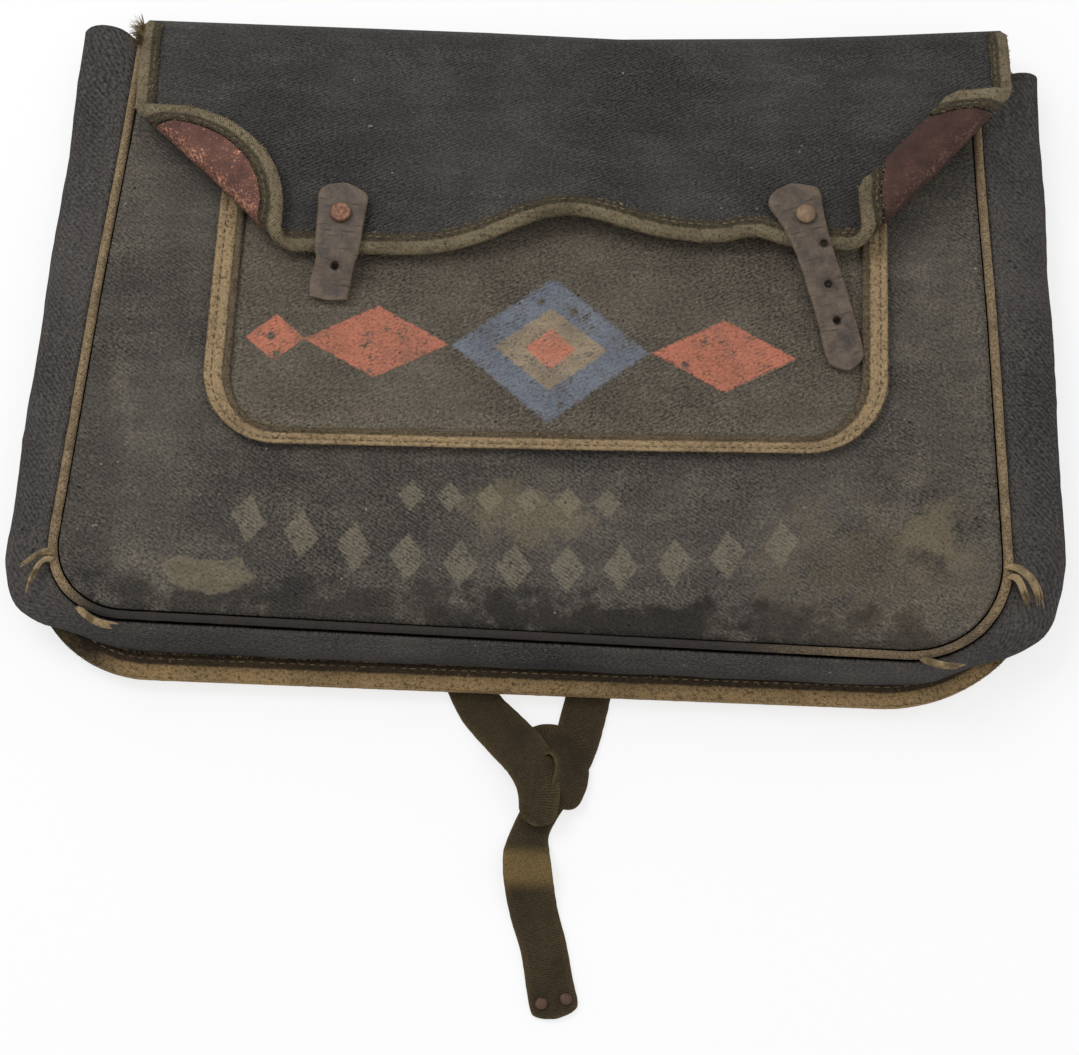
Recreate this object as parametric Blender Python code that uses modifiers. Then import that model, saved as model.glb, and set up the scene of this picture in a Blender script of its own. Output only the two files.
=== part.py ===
"""A worn canvas parachute pack bag that lies on its back, nearly empty, with its flap closed.

One sheet of canvas is the back panel and, turned over the top, the flap. The left corner of the flap is
turned up flat and the right one is rolled into a band. A gusset joins the back to the front panel, and
two webbing straps run out from under the bottom seam. Tables are in millimetres, and +Y is the bag's top.
"""

import math

import bmesh
import bpy
import numpy as np
from mathutils import Vector

MM = 0.001

# Thickness of each stuff, and the air between two sewn pieces
CANVAS = 1.4
TAPE = 1.0
LINING = 1.0
WEBBING = 1.5
LEATHER = 2.0
GAP = 0.35

# Driving sizes of the bag
FRONT_HEIGHT = 27.0
PIPING_RADIUS = 1.75
SEAM_HEIGHT = 29.5
SEAM_HEIGHT_AT_MOUTH = 25.0
FRONT_LEFT = (-179.5, -167.0)
FRONT_RIGHT = (170.5, 164.0)
FRONT_BOTTOM = (-64.5, -68.5)
FRONT_TOP = (175.0, 170.0)
FRONT_CORNERS = (29.0, 40.0)
BACK_LEFT = (-189.0, -188.0)
BACK_RIGHT = (189.0, 189.0)
BACK_BOTTOM = (-80.5, -80.0)
BACK_TOP = (178.0, 178.0)
BACK_CORNERS = (46.0, 64.0)
TAPE_WIDTH = 7.5
FLANGE_LIFT = 1.35
BOTTOM_FLANGE_LIFT = 3.2
LIFT_REACH = (26.0, 14.5)
LIFT_FADE = (-74.0, -34.0)
FLAP_LEFT = (-161.0, -166.0)
FLAP_RIGHT = (175.0, 176.0)
FLAP_CORNERS = (43.0, 43.0)
FLAP_TOP = 188.5
FLAP_TAPE_WIDTH = 6.5
CLEAR_OF_TUCK = 2.0
POCKET_LEFT = (-128.5, -128.5)
POCKET_RIGHT = (125.0, 126.5)
POCKET_BOTTOM = (3.5, 10.0)
POCKET_TOP = (108.0, 108.0)
POCKET_CORNERS = (29.0, 29.0)
POCKET_SIDE_TAPE = 9.5
POCKET_BOTTOM_TAPE = 6.0

# Section of the back and flap sheet from its bottom edge round the top: y, z
SECTION = (
    (-82.0, 0.7),
    (0.0, 0.7),
    (100.0, 0.7),
    (150.0, 0.7),
    (168.0, 0.7),
    (179.0, 0.7),
    (186.5, 2.0),
    (191.5, 5.8),
    (194.0, 12.5),
    (192.8, 19.5),
    (187.5, 25.5),
    (178.0, 29.6),
    (160.0, 32.3),
    (135.0, 33.6),
    (105.0, 34.5),
    (70.0, 34.5),
)

# How far the top turn stands out at places across the bag: x, outward
TOP_SKEW = (
    (-190.0, -6.0),
    (-106.0, -5.5),
    (-31.0, -5.0),
    (23.0, -5.5),
    (87.0, -2.0),
    (128.0, 1.5),
    (190.0, 7.5),
)

# Broad rises of the front panel: height, then middle and width along x, middle and width along y, slant
FRONT_RISES = (
    (-2.2, 20.0, 110.0, -15.0, 55.0, 0.0),
    (1.3, -110.0, 30.0, -35.0, 14.0, 0.0),
    (-1.4, -60.0, 34.0, -45.0, 10.0, 0.0),
    (1.1, 130.0, 16.0, -25.0, 30.0, 0.6),
)
SINK_TO_MOUTH = 4.5
SEAM_REACH = 13.0

# Broad rises of the flap, in the same order, and those of its lifted lower edge: height, middle, width
FLAP_RISES = (
    (1.2, -125.0, 26.0, 128.0, 26.0, 0.0),
    (-0.9, 30.0, 46.0, 150.0, 18.0, 0.0),
    (0.9, -20.0, 18.0, 140.0, 26.0, -0.5),
)
FLAP_EDGE_RISES = ((4.2, 3.0, 34.0), (1.8, 74.0, 15.0))

# The flap's lower edge: its level at the left and right ends, and its arches: height, middle, width
FLAP_EDGE_LEVELS = (81.5, 91.5)
FLAP_ARCHES = ((12.5, 2.0, 30.0), (3.2, 76.0, 10.0))

# Profiles of the gusset: share of the way from front to back seam, outward, height
GUSSET_SIDE = (
    (0.00, 2.2, 27.6),
    (0.10, 7.0, 25.2),
    (0.30, 12.0, 20.2),
    (0.55, 13.3, 14.6),
    (0.80, 7.5, 10.4),
    (0.96, -2.5, 8.7),
    (1.00, -8.8, 7.3),
    (1.00, -10.0, 5.5),
    (1.00, -7.6, 3.95),
    (1.00, -1.2, 3.95),
)
GUSSET_BOTTOM = (
    (0.00, 2.2, 27.6),
    (0.08, 2.6, 25.0),
    (0.20, 2.6, 20.2),
    (0.30, 2.2, 14.6),
    (0.38, 1.4, 10.6),
    (0.40, 0.8, 9.0),
    (0.38, 0.2, 7.4),
    (0.33, 0.0, 5.5),
    (0.40, 0.0, 3.95),
    (1.00, -1.2, 3.95),
)
GUSSET_TUCKED_ROWS = {6: 8.8, 7: 10.0}
GUSSET_TOP_RISE = 10.0
GUSSET_BULGE = 1.2
GUSSET_BULGE_AT_BOTTOM = 0.4
GUSSET_WAVE = 0.7

# Tabs, down their length: x, y, z, width
LEFT_TAB = (
    (-81.0, 107.5, 38.3, 16.0),
    (-81.5, 103.0, 38.3, 19.0),
    (-82.0, 92.0, 38.3, 18.0),
    (-82.5, 80.0, 38.3, 17.0),
    (-83.0, 75.0, 36.8, 15.0),
    (-84.5, 68.0, 33.9, 15.5),
    (-85.0, 61.0, 32.7, 14.5),
)
RIGHT_TAB = (
    (88.6, 114.8, 38.9, 18.5),
    (90.0, 110.0, 38.9, 21.5),
    (94.5, 98.0, 38.6, 16.5),
    (98.5, 86.0, 38.1, 14.5),
    (102.6, 74.5, 35.6, 14.5),
    (107.0, 60.5, 33.1, 14.5),
    (110.0, 47.5, 32.5, 14.5),
    (111.6, 41.3, 32.3, 9.5),
)
LEFT_TAB_HOLES = ((-83.0, 73.5),)
RIGHT_TAB_HOLES = ((101.5, 90.5), (103.4, 74.8), (106.9, 61.0))
HOLE_RADIUS = 1.6
RIVETS = (("rivet_left", -82.0, 94.5, 38.3), ("rivet_right", 94.5, 102.0, 38.8))
RIVET_RADIUS = 4.0
RIVET_HEIGHT = 1.8

# Straps along their centre line: x, y, z, bank in degrees, width
RIGHT_STRAP = (
    (19.5, -75.0, 0.75, 0, 16.5),
    (17.5, -86.0, 0.75, 0, 16.5),
    (14.0, -100.0, 0.75, 0, 16.5),
    (9.0, -112.0, 0.75, 0, 15.5),
    (3.5, -122.0, 0.75, 0, 13.5),
    (-0.5, -131.0, 0.9, 0, 13.5),
    (-1.8, -139.0, 3.0, 0, 16.5),
    (-1.4, -146.0, 5.2, 0, 17.5),
    (0.0, -154.0, 3.0, 0, 17.5),
    (2.0, -162.0, 0.9, 0, 17.0),
    (5.5, -173.0, 0.75, 0, 16.5),
    (8.2, -186.0, 0.75, 0, 16.8),
    (9.9, -193.0, 0.75, 0, 17.0),
    (10.9, -197.4, 0.75, 0, 14.0),
)
LEFT_STRAP = (
    (-27.0, -75.0, 0.75, 0, 16.5),
    (-20.5, -86.5, 0.9, 0, 16.5),
    (-11.5, -97.0, 4.6, 0, 16.5),
    (-4.0, -106.0, 7.8, 0, 15.5),
    (0.5, -115.0, 9.0, 0, 13.0),
    (1.5, -123.0, 7.6, 0, 12.0),
    (-0.5, -130.5, 4.8, 0, 12.0),
)
STRAP_LOOP = (
    (-2.5, -97.5, 1.1, 0, 8.5),
    (4.5, -95.0, 4.0, 22, 9.5),
    (13.0, -98.5, 7.0, 46, 10.5),
    (16.2, -108.0, 7.4, 50, 10.5),
    (13.6, -117.0, 5.6, 32, 10.0),
    (9.2, -123.2, 3.6, 8, 9.0),
)
TAIL_RIVETS = (("tail_rivet_left", 5.4, -192.6), ("tail_rivet_right", 14.0, -190.6))
TAIL_RIVET_RADIUS = 2.2
TAIL_RIVET_HEIGHT = 0.9

# Worn ends of the piping cord, each a few points: x, y, z, then the radius at the root
CORD_ENDS = (
    ("cord_end_left_long", ((-181.6, -43.6, 31.2), (-186.0, -45.6, 30.2), (-191.0, -48.7, 26.8)), 1.0),
    ("cord_end_left_short", ((-181.6, -46.2, 30.6), (-183.2, -50.0, 29.4), (-185.0, -56.5, 27.0)), 0.9),
    (
        "cord_end_right_long",
        ((173.4, -35.6, 31.4), (176.0, -37.2, 31.0), (179.2, -41.5, 29.4), (181.2, -47.4, 26.2)),
        1.0,
    ),
    ("cord_end_right_short", ((173.2, -38.9, 30.6), (174.6, -43.0, 29.8), (176.9, -49.3, 28.2)), 0.8),
    ("cord_end_bottom_right", ((138.0, -72.7, 30.2), (145.0, -72.6, 30.2), (152.5, -70.9, 29.8)), 1.0),
    ("cord_end_bottom_left", ((-165.0, -64.6, 30.4), (-158.5, -68.9, 30.4), (-151.5, -69.7, 29.8)), 1.0),
)


def smooth_step(low, high, value):
    share = min(max((value - low) / (high - low), 0.0), 1.0)
    return share * share * (3.0 - 2.0 * share)


def bump(value, centre, width):
    return math.exp(-(((value - centre) / width) ** 2))


def mix(low, high, share):
    return low + (high - low) * share


def curve_through(rows, steps):
    """Points on a Catmull-Rom curve through the rows, with the given steps between two rows."""
    rows = np.array(rows, float)
    ends = np.vstack([2 * rows[0] - rows[1], rows, 2 * rows[-1] - rows[-2]])
    points = []
    for index in range(len(rows) - 1):
        before, start, end, after = ends[index : index + 4]
        for step in range(steps):
            share = step / steps
            points.append(
                0.5
                * (
                    2 * start
                    + (end - before) * share
                    + (2 * before - 5 * start + 4 * end - after) * share**2
                    + (3 * start - before - 3 * end + after) * share**3
                )
            )
    return np.array(points + [rows[-1]])


def shares(run, first=0.0, last=0.0, corner=3):
    """Shares from 0 to 1: corner steps inside the first and last shares, and run steps between."""
    found = list(np.linspace(first, 1.0 - last, run + 1))
    if first:
        found = list(np.linspace(0.0, first, corner + 1)[:-1]) + found
    if last:
        found = found + list(np.linspace(1.0 - last, 1.0, corner + 1)[1:])
    return found


class Outline:
    """A panel with two rounded lower corners. Each side is a function of the share along it."""

    def __init__(self, left, right, bottom, top, radii):
        self.left, self.right, self.bottom, self.top = left, right, bottom, top
        self.radii = radii

    def point(self, across, up, inset=0.0):
        low_x = self.left(up) + inset
        high_x = self.right(up) - inset
        low_y = self.bottom(across) + inset
        x = mix(low_x, high_x, across)
        y = mix(low_y, self.top(across), up)
        left_radius, right_radius = (radius - inset for radius in self.radii)
        corners = ((low_x + left_radius, left_radius, -1), (high_x - right_radius, right_radius, 1))
        for centre_x, radius, side in corners:
            over = side * (x - centre_x) / radius
            under = (low_y + radius - y) / radius
            if over > 0 and under > 0:
                x = centre_x + side * radius * over * math.sqrt(1 - under**2 / 2)
                y = low_y + radius - radius * under * math.sqrt(1 - over**2 / 2)
        return x, y

    def corner_shares(self):
        """The shares of the width that the corners take, and of the height that the larger one takes."""
        width = self.right(0) - self.left(0)
        height = self.top(0.5) - self.bottom(0.5)
        return self.radii[0] / width, self.radii[1] / width, max(self.radii) / height

    def steps(self, side_steps, bottom_steps, corner=4):
        """Shares up the sides and along the bottom, closer together round the corners."""
        left, right, high = self.corner_shares()
        up = shares(side_steps, first=high, corner=corner)
        along = shares(bottom_steps, first=left, last=right, corner=corner)
        return up, along

    def path(self, up, along):
        """Points and outward normals down the left side, along the bottom and up the right side."""
        points = [self.point(0, share) for share in reversed(up)]
        points += [self.point(share, 0) for share in along[1:-1]]
        points += [self.point(1, share) for share in up]
        points = np.array(points)
        run = np.gradient(points, axis=0)
        normals = np.column_stack([run[:, 1], -run[:, 0]])
        return points, normals / np.linalg.norm(normals, axis=1)[:, None]


def straight(ends):
    return lambda share: mix(ends[0], ends[1], share)


FRONT = Outline(
    straight(FRONT_LEFT), straight(FRONT_RIGHT), straight(FRONT_BOTTOM), straight(FRONT_TOP), FRONT_CORNERS
)
BACK = Outline(
    straight(BACK_LEFT), straight(BACK_RIGHT), straight(BACK_BOTTOM), straight(BACK_TOP), BACK_CORNERS
)
POCKET = Outline(
    straight(POCKET_LEFT), straight(POCKET_RIGHT), straight(POCKET_BOTTOM), straight(POCKET_TOP), POCKET_CORNERS
)
# Steps across the one sheet, shared by the seams and tapes that follow its edges
FLAP_CORNER_SHARE = FLAP_CORNERS[0] / (FLAP_RIGHT[0] - FLAP_LEFT[0])
SHEET_ACROSS = shares(22, first=FLAP_CORNER_SHARE, last=FLAP_CORNER_SHARE, corner=4)
FRONT_PATH, FRONT_NORMALS = FRONT.path(FRONT.steps(9, 1)[0], SHEET_ACROSS)
BACK_PATH, BACK_NORMALS = BACK.path(BACK.steps(9, 1)[0], SHEET_ACROSS)


def distance_to(path, x, y):
    return float(np.hypot(path[:, 0] - x, path[:, 1] - y).min())


FINE_BACK_PATH = BACK.path(*BACK.steps(60, 90, corner=12))[0]
FINE_FRONT_PATH = FRONT.path(*FRONT.steps(60, 90, corner=12))[0]


def flange_lift(x, y):
    """How far the back panel's edge nearest to this point is lifted by the tape and straps under it."""
    nearest = np.hypot(FINE_BACK_PATH[:, 0] - x, FINE_BACK_PATH[:, 1] - y).argmin()
    return mix(BOTTOM_FLANGE_LIFT, FLANGE_LIFT, smooth_step(*LIFT_FADE, FINE_BACK_PATH[nearest, 1]))


def seam_height(y):
    return mix(SEAM_HEIGHT, SEAM_HEIGHT_AT_MOUTH, smooth_step(55.0, 140.0, y))


def front_height(x, y):
    """Height of the middle of the front panel's cloth."""
    to_mouth = smooth_step(60.0, 150.0, y)
    edge = math.exp(-distance_to(FINE_FRONT_PATH, x, y) / SEAM_REACH)
    height = FRONT_HEIGHT - SINK_TO_MOUTH * to_mouth
    height += (seam_height(y) - height) * edge
    for rise, x_middle, x_width, y_middle, y_width, slant in FRONT_RISES:
        height += rise * bump(x - slant * y, x_middle, x_width) * bump(y, y_middle, y_width)
    return height


def pocket_height(x, y):
    """Height of the middle of the pocket's cloth, which stands a little off the front panel."""
    edge = distance_to(POCKET_PATH, x, y)
    return front_height(x, y) + CANVAS + GAP + 1.3 * smooth_step(2.0, 30.0, edge)


POCKET_PATH = POCKET.path(*POCKET.steps(30, 60, corner=10))[0]


class Section:
    """The back and flap sheet laid out flat as x, length along and offset, and its way into space."""

    def __init__(self):
        line = curve_through(SECTION, 24)
        steps = np.hypot(*np.diff(line, axis=0).T)
        self.along = np.concatenate([[0.0], np.cumsum(steps)])
        self.line = line
        run = np.gradient(line, self.along, axis=0)
        self.run = run / np.linalg.norm(run, axis=1)[:, None]
        top = int(np.argmax(line[:, 0]))
        self.turn_start = float(np.interp(BACK_TOP[0], line[:top, 0], self.along[:top]))
        self.turn_end = self.at_flap(FLAP_TOP)

    def at_flap(self, y):
        """Length along the sheet where the flap reaches this y."""
        top = int(np.argmax(self.line[:, 0]))
        return float(np.interp(-y, -self.line[top:, 0], self.along[top:]))

    def place(self, x, along, offset):
        y, z = (np.interp(along, self.along, self.line[:, k]) for k in (0, 1))
        run_y, run_z = (np.interp(along, self.along, self.run[:, k]) for k in (0, 1))
        if along < self.turn_start:
            inside = distance_to(FINE_BACK_PATH, x, y)
            z += flange_lift(x, y) * smooth_step(*LIFT_REACH, inside) * smooth_step(190.0, 184.0, y)
        else:
            z += self.relief(x, y) * smooth_step(26.0, 33.0, z)
        skew_x, skew = zip(*TOP_SKEW)
        weight = smooth_step(178.0, 190.0, y) if z < SECTION[8][1] else smooth_step(90.0, 180.0, y)
        lean = np.interp(x, skew_x, skew) * weight
        return Vector((x, y + lean + run_z * offset, z - run_y * offset))

    def relief(self, x, y):
        """The flap's own rise and fall: its lifted lower edge, and slack between the sides."""
        low = smooth_step(135.0, 98.0, y)
        height = sum(rise * bump(x, middle, width) * low for rise, middle, width in FLAP_EDGE_RISES)
        for rise, x_middle, x_width, y_middle, y_width, slant in FLAP_RISES:
            height += rise * bump(x - slant * y, x_middle, x_width) * bump(y, y_middle, y_width)
        return height


SHEET = Section()


def flap_edge(share):
    """Length along the sheet of the flap's lower edge, at a share of its width, as a negative number."""
    x = mix(FLAP_LEFT[0], FLAP_RIGHT[0], share)
    y = mix(*FLAP_EDGE_LEVELS, smooth_step(-60.0, 60.0, x))
    y += sum(rise * bump(x, middle, width) for rise, middle, width in FLAP_ARCHES)
    return -SHEET.at_flap(y)


FLAP = Outline(
    straight(FLAP_LEFT), straight(FLAP_RIGHT), flap_edge, lambda share: -SHEET.turn_end, FLAP_CORNERS
)


FLAP_UP = FLAP.steps(5, 1)[0]


class Fold:
    """A corner of the flap turned up along a line, and where a band is given, rolled under again."""

    def __init__(self, start, end, radius, band=None, band_radius=None):
        self.start = np.array([start[0], SHEET.at_flap(start[1])])
        end = np.array([end[0], SHEET.at_flap(end[1])])
        way = (end - self.start) / np.linalg.norm(end - self.start)
        side = math.copysign(1.0, start[0])
        self.beyond = np.array([-way[1], way[0]])
        if self.beyond[0] * side < 0:
            self.beyond = -self.beyond
        self.radius, self.band, self.band_radius = radius, band, band_radius
        self.turned = math.pi * radius
        self.tucked = self.turned + band if band else None

    def distance(self, x, along):
        return float((np.array([x, along]) - self.start) @ self.beyond)

    def cuts(self):
        """Distances beyond the fold line at which the cloth needs an edge."""
        found = list(np.linspace(0.0, self.turned, 6))
        if self.band:
            found += list(np.linspace(self.tucked, self.tucked + math.pi * self.band_radius, 5))
        return found

    def apply(self, x, along, offset):
        far = self.distance(x, along)
        if far <= 0:
            return x, along, offset
        if far < self.turned:
            angle = far / self.radius
            reach = (self.radius - offset) * math.sin(angle)
            height = self.radius - (self.radius - offset) * math.cos(angle)
        elif not self.band or far < self.tucked:
            reach = self.turned - far
            height = 2 * self.radius - offset
        else:
            turn = self.band_radius
            angle = (far - self.tucked) / turn
            middle = 2 * self.radius - turn
            if angle < math.pi:
                reach = -self.band - (turn - offset) * math.sin(angle)
                height = middle + (turn - offset) * math.cos(angle)
            else:
                reach = -self.band + far - self.tucked - math.pi * turn
                height = middle - turn + offset
        moved = np.array([x, along]) + self.beyond * (reach - far)
        return moved[0], moved[1], height


LEFT_FOLD = Fold((-160.5, 143.5), (-107.5, 91.0), radius=3.2)
RIGHT_FOLD = Fold((175.0, 163.0), (118.5, 102.0), radius=3.9, band=8.0, band_radius=1.7)


def into_space(bm):
    """Folds and drapes a mesh that was built in the flat sheet's x, length and offset."""
    for fold in (LEFT_FOLD, RIGHT_FOLD):
        normal = Vector((*fold.beyond, 0.0))
        for cut in fold.cuts():
            near = [f for f in bm.faces if any(fold.distance(v.co.x, v.co.y) > -14.0 for v in f.verts)]
            edges = {e for f in near for e in f.edges}
            verts = {v for f in near for v in f.verts}
            bmesh.ops.bisect_plane(
                bm,
                geom=near + list(edges) + list(verts),
                dist=1e-4,
                plane_co=Vector((*fold.start, 0.0)) + normal * cut,
                plane_no=normal,
            )
    for vert in bm.verts:
        flat = tuple(vert.co)
        for fold in (LEFT_FOLD, RIGHT_FOLD):
            flat = fold.apply(*flat)
        vert.co = SHEET.place(*flat)


def grid(columns, rows, place):
    """A grid whose point at column share and row share goes to place(column, row)."""
    bm = bmesh.new()
    bmesh.ops.create_grid(bm, x_segments=len(columns) - 1, y_segments=len(rows) - 1, size=0.5)
    for vert in bm.verts:
        column = columns[round((vert.co.x + 0.5) * (len(columns) - 1))]
        row = rows[round((vert.co.y + 0.5) * (len(rows) - 1))]
        vert.co = Vector(place(column, row))
    return bm


def thicken_flat(bm, thickness, middle):
    """Gives a flat sheet its thickness about the given offset."""
    bmesh.ops.solidify(bm, geom=bm.faces[:], thickness=thickness)
    offsets = [v.co.z for v in bm.verts]
    shift = middle - (min(offsets) + max(offsets)) / 2
    bmesh.ops.translate(bm, verts=bm.verts, vec=(0.0, 0.0, shift))


def swept(rings):
    """A closed solid through a row of closed rings that have the same number of points."""
    count = len(rings[0])
    bm = bmesh.new()
    bmesh.ops.create_grid(bm, x_segments=count, y_segments=len(rings) - 1, size=0.5)
    for vert in bm.verts:
        place = round((vert.co.x + 0.5) * count) % count
        station = round((vert.co.y + 0.5) * (len(rings) - 1))
        vert.co = Vector(rings[station][place])
    bmesh.ops.remove_doubles(bm, verts=bm.verts, dist=1e-5)
    bmesh.ops.holes_fill(bm, edges=bm.edges, sides=0)
    return bm


def bound_edge(points, normals, half_inner, width):
    """Rings of a tape folded over an edge, in the plane of each point's outward normal and its offset."""
    outer = half_inner + TAPE
    profile = (
        (-width, outer),
        (0.9, outer),
        (GAP + TAPE, half_inner * 0.6),
        (GAP + TAPE, -half_inner * 0.6),
        (0.9, -outer),
        (-width, -outer),
        (-width, -half_inner),
        (0.0, -half_inner),
        (GAP, 0.0),
        (0.0, half_inner),
        (-width, half_inner),
    )
    rings = []
    for (x, y), (nx, ny) in zip(points, normals):
        rings.append([(x + nx * out, y + ny * out, up) for out, up in profile])
    return rings


def material(name, colour, roughness, metallic=0.0):
    found = bpy.data.materials.new(name)
    found.use_nodes = True
    shader = found.node_tree.nodes["Principled BSDF"]
    shader.inputs["Base Color"].default_value = (*colour, 1.0)
    shader.inputs["Roughness"].default_value = roughness
    shader.inputs["Metallic"].default_value = metallic
    found.diffuse_color = (*colour, 1.0)
    return found


def piece(name, bm, finish, collection, thickness=None):
    """Makes an object of a mesh in millimetres. A thickness turns an open sheet into a solid."""
    bmesh.ops.recalc_face_normals(bm, faces=bm.faces)
    if not thickness and bm.calc_volume(signed=True) < 0:
        bmesh.ops.reverse_faces(bm, faces=bm.faces)
    bmesh.ops.scale(bm, verts=bm.verts, vec=(MM, MM, MM))
    mesh = bpy.data.meshes.new(name)
    bm.to_mesh(mesh)
    bm.free()
    mesh.materials.append(finish)
    mesh.shade_smooth()
    mesh.set_sharp_from_angle(angle=math.radians(40))
    obj = bpy.data.objects.new(name, mesh)
    collection.objects.link(obj)
    if thickness:
        solid = obj.modifiers.new("Solidify", "SOLIDIFY")
        solid.thickness = thickness * MM
        solid.offset = 0.0
        solid.use_even_offset = True
    return obj


def make_back_and_flap(finish, collection):
    """One sheet: v runs 0 to 1 up the back, 1 to 2 round the top turn and 2 to 3 down the flap."""
    back_rows = BACK.steps(5, 1)[0]
    turn_rows = [1.0 + share for share in shares(8)[1:]]
    flap_rows = [3.0 - share for share in reversed(FLAP_UP)][1:]

    def place(across, down):
        if down <= 1.0:
            x, y = BACK.point(across, down)
            return x, y - SECTION[0][0], 0.0
        if down <= 2.0:
            share = down - 1.0
            narrow = smooth_step(0.0, 0.6, share)
            left = mix(BACK_LEFT[1], FLAP_LEFT[1], narrow)
            right = mix(BACK_RIGHT[1], FLAP_RIGHT[1], narrow)
            return mix(left, right, across), mix(SHEET.turn_start, SHEET.turn_end, share), 0.0
        x, length = FLAP.point(across, 3.0 - down)
        return x, -length, 0.0

    bm = grid(SHEET_ACROSS, back_rows + turn_rows + flap_rows, place)
    thicken_flat(bm, CANVAS, 0.0)
    into_space(bm)
    return piece("back_and_flap", bm, finish, collection)


def make_flap_binding(finish, collection):
    """Tape folded over the flap's edge. It ends where the right corner is rolled under."""
    points, normals = FLAP.path(FLAP_UP, SHEET_ACROSS)
    points = points * (1, -1)
    normals = normals * (1, -1)
    tucked = [RIGHT_FOLD.distance(*point) > RIGHT_FOLD.tucked - CLEAR_OF_TUCK for point in points]
    first_tucked = tucked.index(True)
    last_tucked = len(tucked) - 1 - tucked[::-1].index(True)
    stretches = (("flap_binding", slice(1, first_tucked)), ("flap_binding_right", slice(last_tucked + 1, -1)))
    for name, stretch in stretches:
        rings = bound_edge(points[stretch], normals[stretch], CANVAS / 2 + GAP, FLAP_TAPE_WIDTH)
        bm = swept(rings)
        into_space(bm)
        piece(name, bm, finish, collection)


def make_linings(finish, collection):
    """The flap's lining where a turned corner shows it."""
    wide, _, high = FLAP.corner_shares()
    middle = -(CANVAS / 2 + GAP + LINING / 2)
    for name, fold, mirror in (("lining_left", LEFT_FOLD, False), ("lining_right", RIGHT_FOLD, True)):
        columns = [share * 3.2 * wide for share in shares(14)]
        if mirror:
            columns = [1.0 - share for share in reversed(columns)]
        rows = [share for share in shares(10, first=high, corner=5)]

        def place(across, up):
            x, length = FLAP.point(across, up, inset=FLAP_TAPE_WIDTH + 2 * GAP)
            return x, -length, 0.0

        bm = grid(columns, rows, place)
        normal = Vector((*fold.beyond, 0.0))
        bmesh.ops.bisect_plane(
            bm,
            geom=bm.verts[:] + bm.edges[:] + bm.faces[:],
            dist=1e-4,
            plane_co=Vector((*fold.start, 0.0)) + normal * fold.turned * 0.45,
            plane_no=normal,
            clear_inner=True,
        )
        if fold.band:
            bmesh.ops.bisect_plane(
                bm,
                geom=bm.verts[:] + bm.edges[:] + bm.faces[:],
                dist=1e-4,
                plane_co=Vector((*fold.start, 0.0)) + normal * (fold.tucked + fold.band_radius * 2.4),
                plane_no=normal,
                clear_outer=True,
            )
        thicken_flat(bm, LINING, middle)
        into_space(bm)
        piece(name, bm, finish, collection)


def make_front_panel(finish, collection):
    left, right, high = FRONT.corner_shares()
    inset = PIPING_RADIUS + GAP + 0.2

    def place(across, up):
        x, y = FRONT.point(across, up, inset)
        return x, y, front_height(x, y)

    bm = grid(shares(14, first=left, last=right), shares(11, first=high), place)
    return piece("front_panel", bm, finish, collection, thickness=CANVAS)


def make_gusset(finish, collection):
    """The strip between the front and back seams. It bulges at the sides and hangs straight at the bottom."""
    last = len(FRONT_PATH) - 1
    rows = len(GUSSET_SIDE) - 1

    def place(along, across):
        station = round(along * last)
        row = round(across * rows)
        nx, ny = FRONT_NORMALS[station]
        below = smooth_step(0.35, 0.97, abs(ny))
        side, bottom = np.array(GUSSET_SIDE), np.array(GUSSET_BOTTOM)
        share, out, height = mix(side[row], bottom[row], below)
        if row in GUSSET_TUCKED_ROWS:
            room = float((BACK_PATH[station] - FRONT_PATH[station]) @ BACK_NORMALS[station])
            out = min(out, (1.0 - share) * room - GUSSET_TUCKED_ROWS[row])
        x, y = mix(FRONT_PATH[station], BACK_PATH[station], share)
        nx, ny = mix(FRONT_NORMALS[station], BACK_NORMALS[station], share)
        free = math.sin(math.pi * min(row / 5.0, 1.0))
        out += free * mix(GUSSET_BULGE, GUSSET_BULGE_AT_BOTTOM, below) * math.sin(station * 1.9)
        rise = seam_height(y) / SEAM_HEIGHT if row < 4 else 1.0
        lift = flange_lift(*BACK_PATH[station]) - FLANGE_LIFT
        height = height * rise + lift * smooth_step(2.0, 5.0, row)
        height += free * GUSSET_WAVE * math.sin(station * 2.6)
        y += GUSSET_TOP_RISE * free * smooth_step(150.0, 176.0, y)
        return x + nx * out, y + ny * out, height

    columns = [index / last for index in range(last + 1)]
    bm = grid(columns, shares(rows), place)
    return piece("gusset", bm, finish, collection, thickness=CANVAS)


def make_body_binding(finish, collection):
    """Tape folded over the back panel's edge and the gusset's edge on it."""
    half_inner = CANVAS + GAP * 2
    rings = bound_edge(BACK_PATH, BACK_NORMALS, half_inner, TAPE_WIDTH)
    for ring, (x_path, y_path) in zip(rings, BACK_PATH):
        middle = half_inner + TAPE + flange_lift(x_path, y_path) - FLANGE_LIFT
        for index, (x, y_ring, up) in enumerate(ring):
            ring[index] = (x, y_ring, up + middle)
    return piece("body_binding", swept(rings), finish, collection)


def make_pocket(finish, collection):
    left, right, high = POCKET.corner_shares()

    def place(across, up):
        x, y = POCKET.point(across, up)
        return x, y, pocket_height(x, y)

    bm = grid(shares(12, first=left, last=right), shares(5, first=high), place)
    return piece("pocket", bm, finish, collection, thickness=CANVAS)


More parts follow.
